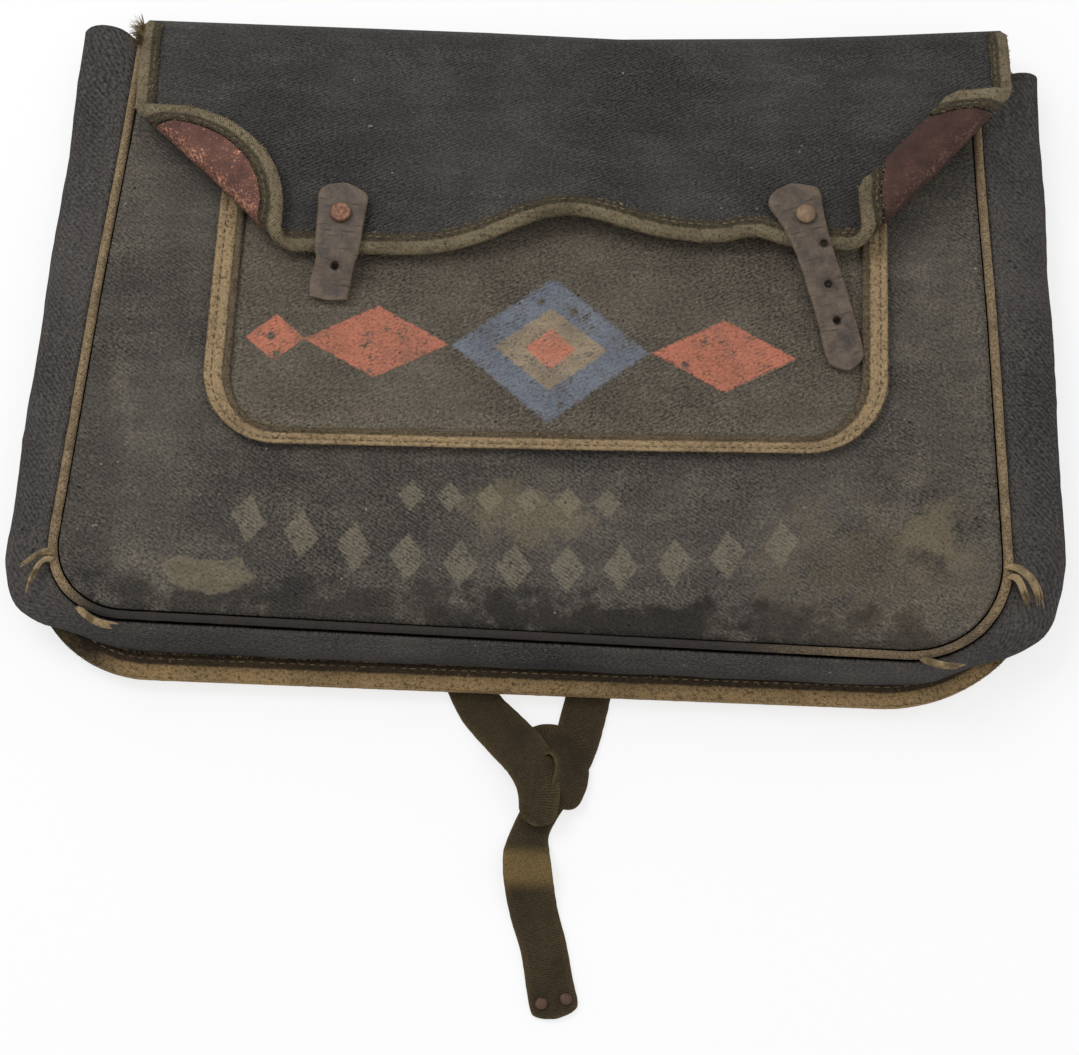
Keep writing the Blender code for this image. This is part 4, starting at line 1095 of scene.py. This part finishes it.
def make_back_and_flap():
    """One sheet: v runs 0 to 1 up the back, 1 to 2 round the top turn and 2 to 3 down the flap."""
    back_rows = BACK.steps(42, 1, corner=16)[0]
    turn_rows = [1.0 + share for share in shares(18)[1:]]
    flap_rows = [3.0 - share for share in reversed(FLAP_UP)][1:]

    def place(across, down):
        if down <= 1.0:
            x, y = BACK.point(across, down)
            return x, y - SECTION[0][0], 0.0
        if down <= 2.0:
            share = down - 1.0
            narrow = smooth_step(0.0, 0.6, share)
            left = mix(BACK_LEFT[1], FLAP_LEFT[1], narrow)
            right = mix(BACK_RIGHT[1], FLAP_RIGHT[1], narrow)
            return mix(left, right, across), mix(SHEET.turn_start, SHEET.turn_end, share), 0.0
        x, length = FLAP.point(across, 3.0 - down)
        return x, -length, 0.0

    bm = grid(SHEET_ACROSS, back_rows + turn_rows + flap_rows, place)
    area = thicken_flat(bm, CANVAS, 0.0, flap_wear)
    into_space(bm)
    return write_mesh("back_and_flap_cloth", bm, FLAP_CANVAS, "canvas", ["back_and_flap"]), area


def tape_rings(points, normals, half_inner, width, seed):
    """Rings of a tape folded over an edge, lumpy and uneven, in the plane of the edge's outward normal."""
    profile = tape_profile(half_inner, width)
    along = lengths(points)
    around = lengths(profile)
    rings = []
    for (x, y), (nx, ny), length in zip(points, normals, along):
        wide = 0.35 * wave(length, 0.0, 5.0, seed)
        fat = 0.16 * wave(length, 0.0, 3.0, seed + 3.0)
        ring = []
        for out, up in profile:
            out = out + (wide if out < -1.0 else fat)
            up = up + math.copysign(fat * 0.8, up) * smooth_step(half_inner, half_inner + TAPE, abs(up))
            ring.append((x + nx * out, y + ny * out, up))
        rings.append(ring)
    return rings, along, around


def make_flap_binding():
    """Tape folded over the flap's edge. It ends where the right corner is rolled under."""
    points, normals = FLAP.path(FLAP_UP, SHEET_ACROSS)
    points = points * (1, -1)
    normals = normals * (1, -1)
    tuck = RIGHT_FOLD.tucked + math.pi * RIGHT_FOLD.band_radius + 2.0
    tucked = [RIGHT_FOLD.distance(*point) > tuck for point in points]
    first = tucked.index(True)
    last = len(tucked) - 1 - tucked[::-1].index(True)
    made = []
    for node, stretch in (("flap_binding", slice(1, first)), ("flap_binding_right", slice(last + 1, -1))):
        rings = tape_rings(points[stretch], normals[stretch], CANVAS / 2 + GAP, FLAP_TAPE_WIDTH, 31.0)
        bm = swept(*rings)
        into_space(bm)
        made.append(write_mesh(node + "_tape", bm, FLAP_TAPE, "tape", [node]))
    return made, points, normals, first, last


def make_linings():
    """The flap's lining where a turned corner shows it."""
    wide, _, high = FLAP.corner_shares()
    middle = -(CANVAS / 2 + GAP + LINING / 2)
    for node, fold, mirror, finish in (
        ("lining_left", LEFT_FOLD, False, LEFT_LINING),
        ("lining_right", RIGHT_FOLD, True, RIGHT_LINING),
    ):
        columns = [share * 3.2 * wide for share in shares(56)]
        if mirror:
            columns = [1.0 - share for share in reversed(columns)]
        rows = shares(44, first=high, corner=20)

        def place(across, up):
            x, length = FLAP.point(across, up, inset=FLAP_TAPE_WIDTH + 2 * GAP)
            return x, -length, 0.0

        bm = grid(columns, rows, place)
        normal = Vector((*fold.beyond, 0.0))
        start = Vector((*fold.start, 0.0))
        clears = [(fold.turned * 0.45, "clear_inner")]
        if fold.band:
            clears.append((fold.tucked + fold.band_radius * 2.4, "clear_outer"))
        for cut, side in clears:
            plane = {"plane_co": start + normal * cut, "plane_no": normal, side: True}
            bmesh.ops.bisect_plane(bm, geom=bm.verts[:] + bm.edges[:] + bm.faces[:], dist=1e-4, **plane)

        def wear(x, along):
            off_fold = abs(fold.distance(x, along) - fold.turned * 0.7)
            return max(math.exp(-off_fold / 3.0), math.exp(-distance_to(FLAP_EDGE, x, along) / 9.0))

        ways = (normal, Vector((normal.y, -normal.x, 0.0)))
        cut = [max(way.dot(v.co) for v in bm.verts) - min(way.dot(v.co) for v in bm.verts) for way in ways]
        area = thicken_flat(bm, LINING, middle, wear)
        into_space(bm)
        lining = write_mesh(node + "_cloth", bm, finish, "lining", [node])
        cut[0] * MM
        cut[1] * MM


def front_wear(x, y):
    """Rubbed creases and seams of the front panel."""
    raised = sum(max(crease(x, y, *row), 0.0) for row in FRONT_CREASES)
    return min(0.5 * math.exp(-distance_to(FINE_FRONT_PATH, x, y) / 5.0) + 0.35 * raised, 1.0)


def make_front_panel():
    left, right, high = FRONT.corner_shares()
    inset = PIPING_RADIUS + GAP + 0.2

    def place(across, up):
        x, y = FRONT.point(across, up, inset)
        return x, y, front_height(x, y)

    columns = shares(116, first=left, last=right, corner=12)
    rows = shares(86, first=high, corner=12)
    bm = grid(columns, rows, place, lambda column, row, co: (co.x, co.y, front_wear(co.x, co.y)))
    return write_mesh("front_panel_cloth", bm, PANEL_CANVAS, "worn_canvas", ["front_panel"], CANVAS)


def make_gusset():
    """The strip between the front and back seams. It bulges at the sides and hangs straight at the bottom."""
    last = len(FRONT_PATH) - 1
    smoothness = 3
    side, bottom = curve_through(GUSSET_SIDE, smoothness), curve_through(GUSSET_BOTTOM, smoothness)
    rows = len(side) - 1
    path_length = lengths(FRONT_PATH)

    def place(along, across):
        station = round(along * last)
        row = round(across * rows)
        coarse_row, coarse_station = row / smoothness, station / FINE
        nx, ny = FRONT_NORMALS[station]
        below = smooth_step(0.35, 0.97, abs(ny))
        share, out, height = mix(side[row], bottom[row], below)
        room = float((BACK_PATH[station] - FRONT_PATH[station]) @ BACK_NORMALS[station])
        tucked = (1.0 - share) * room - np.interp(coarse_row, *zip(*GUSSET_TUCKED_ROWS.items()))
        in_tuck = smooth_step(5.0, 6.0, coarse_row) * smooth_step(8.0, 7.0, coarse_row)
        out = mix(out, min(out, tucked), in_tuck)
        x, y = mix(FRONT_PATH[station], BACK_PATH[station], share)
        nx, ny = mix(FRONT_NORMALS[station], BACK_NORMALS[station], share)
        free = math.sin(math.pi * min(coarse_row / 5.0, 1.0))
        out += free * 0.35 * math.sin(coarse_station * 1.9)
        ripple = wave(path_length[station], coarse_row * 6.0, 9.0, 41.0)
        out += free * 0.3 * (ripple + wave(path_length[station], 0, 4.0, 43.0))
        rise = mix(seam_height(y) / SEAM_HEIGHT, 1.0, smooth_step(3.0, 4.0, coarse_row))
        lift = flange_lift(*BACK_PATH[station]) - FLANGE_LIFT
        height = height * rise + lift * smooth_step(2.0, 5.0, coarse_row)
        height += free * 0.3 * math.sin(coarse_station * 2.6)
        y += GUSSET_TOP_RISE * free * smooth_step(150.0, 176.0, y)
        return x + nx * out, y + ny * out, height

    def cloth(along, across, co):
        station = round(along * last)
        return path_length[station], across * 52.0, 0.55 * math.exp(-across * 9.0)

    columns = [index / last for index in range(last + 1)]
    bm = grid(columns, shares(rows), place, cloth)
    area = sum(face.calc_area() for face in bm.faces) * MM**2
    return write_mesh("gusset_cloth", bm, GUSSET_CANVAS, "canvas", ["gusset"], CANVAS), area


def body_middle(x, y):
    """Height of the middle of the body tape at a point of the back panel's edge."""
    return CANVAS + GAP * 2 + TAPE + flange_lift(x, y) - FLANGE_LIFT


def make_body_binding():
    """Tape folded over the back panel's edge and the gusset's edge on it."""
    rings, along, around = tape_rings(BACK_PATH, BACK_NORMALS, CANVAS + GAP * 2, TAPE_WIDTH, 51.0)
    for index, (x_path, y_path) in enumerate(BACK_PATH):
        middle = body_middle(x_path, y_path)
        rings[index] = [(x, y, max(up + middle, 0.02)) for x, y, up in rings[index]]
    # The tape is dark with fray round the left corner, and less so round the right one
    dark = [
        smooth_step(-150.0, -166.0, x) + 0.5 * smooth_step(160.0, 172.0, x) * smooth_step(-20.0, -50.0, y)
        for x, y in BACK_PATH
    ]
    bm = swept(rings, along, around, dark)
    return write_mesh("body_binding_tape", bm, BODY_TAPE, "tape", ["body_binding"])


def make_pocket():
    left, right, high = POCKET.corner_shares()

    def place(across, up):
        x, y = POCKET.point(across, up)
        return x, y, pocket_height(x, y)

    def cloth(across, up, co):
        return co.x, co.y, 0.5 * math.exp(-max(distance_to(POCKET_PATH, co.x, co.y) - 8.0, 0.0) / 4.0)

    bm = grid(shares(80, first=left, last=right, corner=12), shares(32, first=high, corner=12), place, cloth)
    return write_mesh("pocket_cloth", bm, POCKET_CANVAS, "pocket_canvas", ["pocket"], CANVAS)


def pocket_tape_height(inward):
    """Rise of the doubled pocket tape's two rolled edges and its middle ridge."""
    return 0.6 * (bump(inward, 0.1, 0.12) + bump(inward, 0.9, 0.12)) + 0.45 * bump(inward, 0.5, 0.11)


def pocket_tape_point(points, normals, station, inward):
    (x, y), (nx, ny) = points[station], normals[station]
    width = mix(POCKET_BOTTOM_TAPE, POCKET_SIDE_TAPE, abs(nx) ** 2)
    reach = 0.8 - inward * width
    x, y = x + nx * reach, y + ny * reach
    return x, y, pocket_height(x, y) + CANVAS / 2 + GAP + TAPE / 2


def make_pocket_binding():
    """Doubled tape sewn on the pocket's border, wider up the sides than along the bottom."""
    points, normals = POCKET.path(*POCKET.steps(34, 90, corner=18))
    last = len(points) - 1
    along_path = lengths(points)

    def place(along, inward):
        station = round(along * last)
        x, y, z = pocket_tape_point(points, normals, station, inward)
        lump = 0.12 * wave(along_path[station], inward * 9.0, 3.0, 61.0)
        return x, y, z + pocket_tape_height(inward) + lump

    def cloth(along, inward, co):
        return along_path[round(along * last)], inward * 9.5, 0.0

    columns = [index / last for index in range(last + 1)]
    bm = grid(columns, shares(14), place, cloth)
    tape = write_mesh("pocket_binding_tape", bm, POCKET_TAPE, "tape", ["pocket_binding"], TAPE)
    return tape, points, normals


def make_piping():
    """The covered cord along the front seam, a little uneven."""
    route = [Vector((x, y, seam_height(y))) for x, y in FRONT_PATH]
    along = lengths(route)
    count = 14
    rings, dark = [], []
    for point, (nx, ny), length in zip(route, FRONT_NORMALS, along):
        uneven = 0.09 * wave(length, 0.0, 6.0, 71.0) + 0.05 * wave(length, 0.0, 2.0, 72.0)
        below = smooth_step(0.6, 0.98, -ny)
        # Along the bottom the piping is painted a dark canvas tone, partly painted shade under the panel's
        # edge, most on the left half
        dark.append(below * mix(1.0, 0.3, smooth_step(60.0, 120.0, point.x)))
        radius = PIPING_RADIUS * (1.0 + uneven) * mix(1.0, 0.85, below)
        side = Vector((nx, ny, 0.0))
        ring = []
        for place in range(count):
            angle = 2 * math.pi * place / count - math.pi / 2
            ring.append(point + (side * math.cos(angle) + Vector((0, 0, 1)) * math.sin(angle)) * radius)
        rings.append(ring)
    around = [2 * math.pi * PIPING_RADIUS * place / count for place in range(count)]
    return write_mesh("piping_cord", swept(rings, along, around, dark), PIPING, "piping_cord", ["piping"])


def band_ring(right, left, edge, under):
    """Across and up of each point round a strap's section, from the middle of its underside."""
    def corner(middle, first):
        turns = (math.radians(first + 45 * step) for step in range(5))
        return [(middle + edge * math.cos(turn), under * math.sin(turn)) for turn in turns]

    ring = [(right * step / 4, -under) for step in range(4)] + corner(right, -90)
    ring += [(mix(right, -left, step / 8), under) for step in range(1, 8)] + corner(-left, 90)
    return ring + [(-left * (1 - step / 4), -under) for step in range(4)]


def band(rows, thickness, steps, ends=(0.0, 0.0), ragged=0.0, seed=0.0):
    """A strap along a table of x, y, z, bank and width, with rounded edges. Ends are how far they round."""
    line = curve_through(rows, steps)
    run = np.gradient(line[:, :3], axis=0)
    along = lengths(line[:, :3])
    rings, marks = [], []
    for way, far, (x, y, z, bank, width) in zip(run, along, line):
        way = Vector(way).normalized()
        level = way.cross(Vector((0.0, 0.0, 1.0))).normalized()
        up = level.cross(way).normalized()
        tilt = math.radians(bank)
        lean = level * math.cos(tilt) + up * math.sin(tilt)
        rise = up * math.cos(tilt) - level * math.sin(tilt)
        half = width / 2
        for round_end, near in zip(ends, (far, along[-1] - far)):
            if near < round_end:
                half *= math.sqrt(max(1.0 - ((round_end - near) / round_end) ** 2, 0.02))
        edge = min(thickness / 2, half * 0.5)
        right, left = (half + ragged * wave(far, side, 2.5, seed) - edge for side in (0.0, 5.0))
        ring = band_ring(right, left, edge, thickness / 2)
        centre = Vector((x, y, max(z, thickness / 2)))
        rings.append([centre + lean * across + rise * height for across, height in ring])
        marks.append([across for across, _ in ring])
    return rings, along, marks


def band_mesh(rings, along, marks, worn_edge):
    """The closed mesh of a strap, with its place on the cloth measured from its middle."""
    def cloth(station, place):
        across, far = marks[station][place], along[station]
        reach = max(abs(mark) for mark in marks[station])
        near = min(reach - abs(across), far, along[-1] - far)
        return across, far, math.exp(-max(near, 0.0) / worn_edge)

    return closed_rings(rings, cloth, merged=1e-4)


def make_tab(node, rows, holes, ends, seed):
    """A leather tab with worn edges, and its punched holes cut through."""
    level = [(x, y, z, 0.0, width) for x, y, z, width in rows]
    bm = band_mesh(*band(level, LEATHER, 9, ends, ragged=0.25, seed=seed), worn_edge=0.9)
    bmesh.ops.triangulate(bm, faces=bm.faces)
    tab = write_mesh(node + "_leather", bm, WORN_LEATHER, "leather", [node])
    punch = bmesh.new()
    size = {"segments": 20, "radius1": HOLE_RADIUS * MM, "radius2": HOLE_RADIUS * MM, "depth": 30 * MM}
    for x, y in holes:
        made = bmesh.ops.create_cone(punch, cap_ends=True, **size)
        place = (Vector((x, y, 35.0)) + SHIFT) * MM
        bmesh.ops.translate(punch, verts=made["verts"], vec=place)
    mesh = mesh_of("punch", punch)
    mesh.materials.append(WORN_LEATHER)
    cutter = add_object("punch", mesh)
    cut = tab.modifiers.new("Holes", "BOOLEAN")
    cut.operation = "DIFFERENCE"
    cut.object = cutter
    bpy.context.view_layer.update()
    holed = bpy.data.meshes.new_from_object(tab.evaluated_get(bpy.context.evaluated_depsgraph_get()))
    tab.modifiers.clear()
    tab.data = holed
    shade(holed)
    bpy.data.objects.remove(cutter)


def make_rivet(node, x, y, base, radius, height, finish, slot, profile, seed):
    """A rivet head turned from its profile of radius and height shares, then dented."""
    bm = bmesh.new()
    verts = [bm.verts.new((radius * out, 0.0, height * up)) for out, up in profile]
    edges = [bm.edges.new(pair) for pair in zip(verts, verts[1:])]
    turn = {"cent": (0, 0, 0), "axis": (0, 0, 1), "angle": 2 * math.pi, "steps": 40}
    bmesh.ops.spin(bm, geom=verts + edges, use_merge=True, **turn)
    bmesh.ops.remove_doubles(bm, verts=bm.verts, dist=1e-4)
    for vert in bm.verts:
        if vert.co.z > height * 0.3:
            vert.co.z += height * 0.10 * wave(vert.co.x, vert.co.y, radius * 0.5, seed)
    bmesh.ops.translate(bm, verts=bm.verts, vec=(x, y, base + GAP))
    write_mesh(node + "_head", bm, finish, slot, [node])


FLAT_HEAD = (
    (0, 0), (0.97, 0), (1.0, 0.25), (0.97, 0.62), (0.88, 0.8), (0.7, 0.74), (0.52, 0.76), (0.36, 1.0),
    (0, 1.0),
)
ROUND_HEAD = (
    (0, 0), (0.98, 0), (1.0, 0.22), (0.93, 0.5), (0.76, 0.76), (0.5, 0.93), (0.25, 1.0), (0, 1.0),
)


def stitches(line, ups, length, gap, radius, jitter):
    """Paths of short stitches along a line of points, each dipping into the cloth at its ends."""
    along = lengths(line)
    line, ups = np.array(line), np.array(ups)
    paths = []
    start = gap
    while start + length < along[-1]:
        first = start + random.uniform(-jitter, jitter)
        places = [first + length * share for share in (0.0, 0.12, 0.5, 0.88, 1.0)]
        path = []
        for place, height in zip(places, (-0.5, 0.25, 0.42, 0.25, -0.5)):
            point = [np.interp(place, along, line[:, k]) for k in range(3)]
            up = [np.interp(place, along, ups[:, k]) for k in range(3)]
            path.append([point[k] + up[k] * height * radius * 2 for k in range(3)])
        paths.append(path)
        start += length + gap
    return paths


# Radius along a stitch and along a loose fibre, as shares of its own
STITCH_RADII = (0.02, 0.85, 1.0, 0.85, 0.02)
FIBRE_RADII = (0.9, 1.0, 0.9, 0.7, 0.05)


def fuzz(line, outs, ups, count, reach, seed):
    """Paths of loose fibres that curl away from a tape's edge."""
    rng = random.Random(seed)
    line, outs, ups = np.array(line), np.array(outs), np.array(ups)
    paths = []
    for _ in range(count):
        place = rng.randrange(1, len(line) - 1)
        share = rng.random()
        start = line[place] * (1 - share) + line[place + 1] * share
        run = line[place + 1] - line[place]
        run = run / max(np.linalg.norm(run), 1e-6)
        way = outs[place] * rng.uniform(0.2, 1.0) + run * rng.uniform(-1.0, 1.0)
        way = way + ups[place] * rng.uniform(0.1, 0.9)
        way = way / np.linalg.norm(way)
        curl = run * rng.uniform(-1.0, 1.0) + ups[place] * rng.uniform(-1.0, 0.2)
        length = reach * rng.uniform(0.35, 1.0) ** 1.5
        path = [start - ups[place] * 0.2]
        for step in range(1, 5):
            far = step / 4
            path.append(start + way * length * far + curl * length * 0.45 * far**2)
        paths.append([[point[0], point[1], max(point[2], 0.15)] for point in path])
    return paths


def surface_frames(points, normals, out, up, to_space):
    """Points of a line beside an edge, with the outward and upward directions there."""
    line, outs, ups = [], [], []
    for (x, y), (nx, ny) in zip(points, normals):
        here = np.array(to_space(x + nx * out, y + ny * out, up))
        further = np.array(to_space(x + nx * (out + 0.5), y + ny * (out + 0.5), up))
        higher = np.array(to_space(x + nx * out, y + ny * out, up + math.copysign(0.5, up)))
        line.append(here)
        outs.append((further - here) / 0.5)
        ups.append((higher - here) / 0.5)
    return line, outs, ups


def make_threads(tapes):
    """Stitches and loose fibres on every tape, each kind in one piece."""
    random.seed(7)
    flap_points, flap_normals, first, last, pocket_points, pocket_normals = tapes
    pale, fibres = [], []

    def sew(points, normals, out, up, space, *sizes):
        line, _, ups = surface_frames(points, normals, out, up, space)
        pale.extend(stitches(line, ups, *sizes))

    def fray(points, normals, out, up, space, way, count, reach, seed):
        line, outs, ups = surface_frames(points, normals, out, up, space)
        fibres.extend(fuzz(line, way * np.array(outs), ups, count, reach, seed))

    def body_space(x, y, up):
        nearest = np.hypot(BACK_PATH[:, 0] - x, BACK_PATH[:, 1] - y).argmin()
        return Vector((x, y, up + body_middle(*BACK_PATH[nearest])))

    def pocket_space(x, y, up):
        return Vector((x, y, pocket_height(x, y) + CANVAS / 2 + GAP + TAPE + up))

    outer = CANVAS / 2 + GAP + TAPE
    for stretch in (slice(1, first), slice(last + 1, -1)):
        edge = (flap_points[stretch], flap_normals[stretch])
        count = len(edge[0])
        for side in (outer, -outer):
            sew(*edge, -FLAP_TAPE_WIDTH + 1.4, side, flat_to_space, 2.2, 1.1, 0.26, 0.15)
            fray(*edge, -FLAP_TAPE_WIDTH, side, flat_to_space, -1, 3 * count, 1.3, 100 + len(fibres))
            fray(*edge, 0.8, side * 0.8, flat_to_space, 1, 2 * count, 1.2, 200 + len(fibres))
    outer = CANVAS + GAP * 2 + TAPE
    edge = (BACK_PATH, BACK_NORMALS)
    sew(*edge, -TAPE_WIDTH + 1.6, outer, body_space, 2.4, 1.3, 0.28, 0.2)
    fray(*edge, -TAPE_WIDTH, outer, body_space, -1, 1500, 1.6, 301)
    fray(*edge, 1.0, outer * 0.7, body_space, 1, 1300, 1.4, 302)
    edge = (pocket_points, pocket_normals)
    above = Vector((0.0, 0.0, TAPE / 2 + 0.1))
    for inward in (0.27, 0.72):
        line = [Vector(pocket_tape_point(*edge, at, inward)) + above for at in range(len(pocket_points))]
        pale += stitches(line, [(0, 0, 1)] * len(line), 2.0, 1.2, 0.24, 0.15)
    fray(*edge, 0.8, 0.05, pocket_space, 1, 840, 1.2, 820)
    fray(*edge, -POCKET_BOTTOM_TAPE, 0.05, pocket_space, -1, 600, 1.2, 700)
    # The top left corner of the flap's tape is worn to a tuft
    fray(flap_points[1:8], flap_normals[1:8], 0.5, outer * 0.5, flat_to_space, 1, 320, 7.5, 500)
    made = []
    for name, paths, radius, swell, sides, finish in (
        ("tape_stitches", pale, 0.26, STITCH_RADII, 4, PALE_THREAD),
        ("frayed_fibres", fibres, 0.11, FIBRE_RADII, 3, TAN_THREAD),
    ):
        bm = strands(paths, [radius * share for share in swell], sides)
        made.append(write_mesh(name, bm, finish, "tape", open_sheet=True))
    return made


def make_cord_ends():
    """Each worn cord end is a bundle of strands that splay towards its tip."""
    rng = random.Random(11)
    made = []
    for name, radius, points in CORD_ENDS:
        line = curve_through(points, 5)
        paths = []
        for index in range(CORD_STRANDS):
            angle = 2 * math.pi * index / CORD_STRANDS + rng.uniform(-0.3, 0.3)
            stop = rng.uniform(0.75, 1.0)
            path = []
            for step in range(9):
                share = step / 8 * stop
                place = share * (len(line) - 1)
                point = [np.interp(place, range(len(line)), line[:, k]) for k in range(3)]
                spread = radius * (0.5 + 0.9 * share**2)
                turn = angle + 2.2 * share
                point[2] += spread * math.sin(turn) * 0.8
                point[0] += spread * math.cos(turn) * 0.7
                point[1] += spread * math.cos(turn) * 0.7
                path.append(point)
            paths.append(path)
        radii = [0.02, 0.6, 0.66, 0.62, 0.58, 0.52, 0.45, 0.34, 0.03]
        bm = strands(paths, [value * radius for value in radii], 6)
        made.append(write_mesh(name + "_strands", bm, CORD_THREAD, "piping_cord", [name], open_sheet=True))
    return made


def make_straps():
    for node, rows, ends in (
        ("strap_right", RIGHT_STRAP, (0.0, 3.0)),
        ("strap_left", LEFT_STRAP, (0.0, 5.5)),
        ("strap_loop", STRAP_LOOP, (0.0, 3.5)),
    ):
        rings, along, marks = band(rows, WEBBING, 8, ends, ragged=0.15, seed=81.0)
        bm = band_mesh(rings, along, marks, 0.7)
        strap = write_mesh(node + "_webbing", bm, WEBBING_WEAVE, "webbing", [node])


def point_at(obj, target):
    way = Vector(target) - obj.location
    obj.rotation_euler = way.to_track_quat("-Z", "Y").to_euler()


def make_camera():
    """The photograph's view: its angle, its turns about three axes and its place."""
    data = bpy.data.cameras.new("photo view")
    data.sensor_width = 36.0
    data.lens = 18.0 / math.tan(math.radians(HALF_VIEW))
    data.clip_start = 0.05
    data.clip_end = 20.0
    camera = add_object("photo view", data)
    turn = Matrix()
    for axis, degrees in VIEW_TURNS:
        turn = turn @ Matrix.Rotation(math.radians(degrees), 4, axis)
    camera.matrix_world = Matrix.Translation((Vector(VIEW_PLACE) + SHIFT) * MM) @ turn
    bpy.context.scene.camera = camera


def make_stage():
    """A pale floor, soft light all round and a large soft lamp from the upper left."""
    bm = bmesh.new()
    bmesh.ops.create_grid(bm, x_segments=1, y_segments=1, size=4.0)
    floor = add_object("floor", mesh_of("floor", bm))
    floor.location.z = -0.0004
    glow = {"Emission Color": (1.0, 1.0, 1.0, 1.0), "Emission Strength": 0.72}
    pale = Paint("pale floor").finish((0.23, 0.23, 0.232, 1.0), 0.9, **glow, **MATT)
    floor.data.materials.append(pale)
    world = bpy.data.worlds.new("soft light")
    world.use_nodes = True
    light = world.node_tree.nodes["Background"].inputs
    light["Color"].default_value = (1.0, 1.0, 1.0, 1.0)
    light["Strength"].default_value = 0.78
    bpy.context.scene.world = world
    for name, place, size, power in (
        ("key", (-0.75, 0.55, 1.15), 0.7, 9.0),
        ("fill", (0.9, -0.5, 1.3), 1.2, 3.0),
    ):
        data = bpy.data.lights.new(name, "AREA")
        data.size = size
        data.energy = power
        lamp = add_object(name, data)
        lamp.location = place
        point_at(lamp, (0.0, 0.0, 0.02))
    bpy.context.scene.view_settings.view_transform = "Standard"


make_camera()
make_stage()
sheet, sheet_area = make_back_and_flap()
flap_tapes, flap_points, flap_normals, first_tucked, last_tucked = make_flap_binding()
make_linings()
front = make_front_panel()
gusset, gusset_area = make_gusset()
body_tape = make_body_binding()
pocket = make_pocket()
pocket_tape, pocket_points, pocket_normals = make_pocket_binding()
piping = make_piping()
cord_ends = make_cord_ends()
make_straps()
threads = make_threads(
    (flap_points, flap_normals, first_tucked, last_tucked, pocket_points, pocket_normals)
)
make_tab("tab_left", LEFT_TAB, LEFT_TAB_HOLES, (5.0, 0.8), 91.0)
make_tab("tab_right", RIGHT_TAB, RIGHT_TAB_HOLES, (7.0, 5.0), 95.0)
for (node, x, y, middle), finish, slot, head in zip(
    RIVETS, (COPPER, DULL_METAL), ("copper", "dull_rivet"), (FLAT_HEAD, ROUND_HEAD)
):
    make_rivet(node, x, y, middle + LEATHER / 2, RIVET_RADIUS, RIVET_HEIGHT, finish, slot, head, 3.0)
for node, x, y in TAIL_RIVETS:
    size = (TAIL_RIVET_RADIUS, TAIL_RIVET_HEIGHT)
    make_rivet(node, x, y, WEBBING, *size, TAIL_METAL, "copper", ROUND_HEAD, 5.0)

SHEET.at_flap(FLAP_EDGE_HEIGHTS[0]) * MM
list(flap_tapes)
gusset_area / 0.055
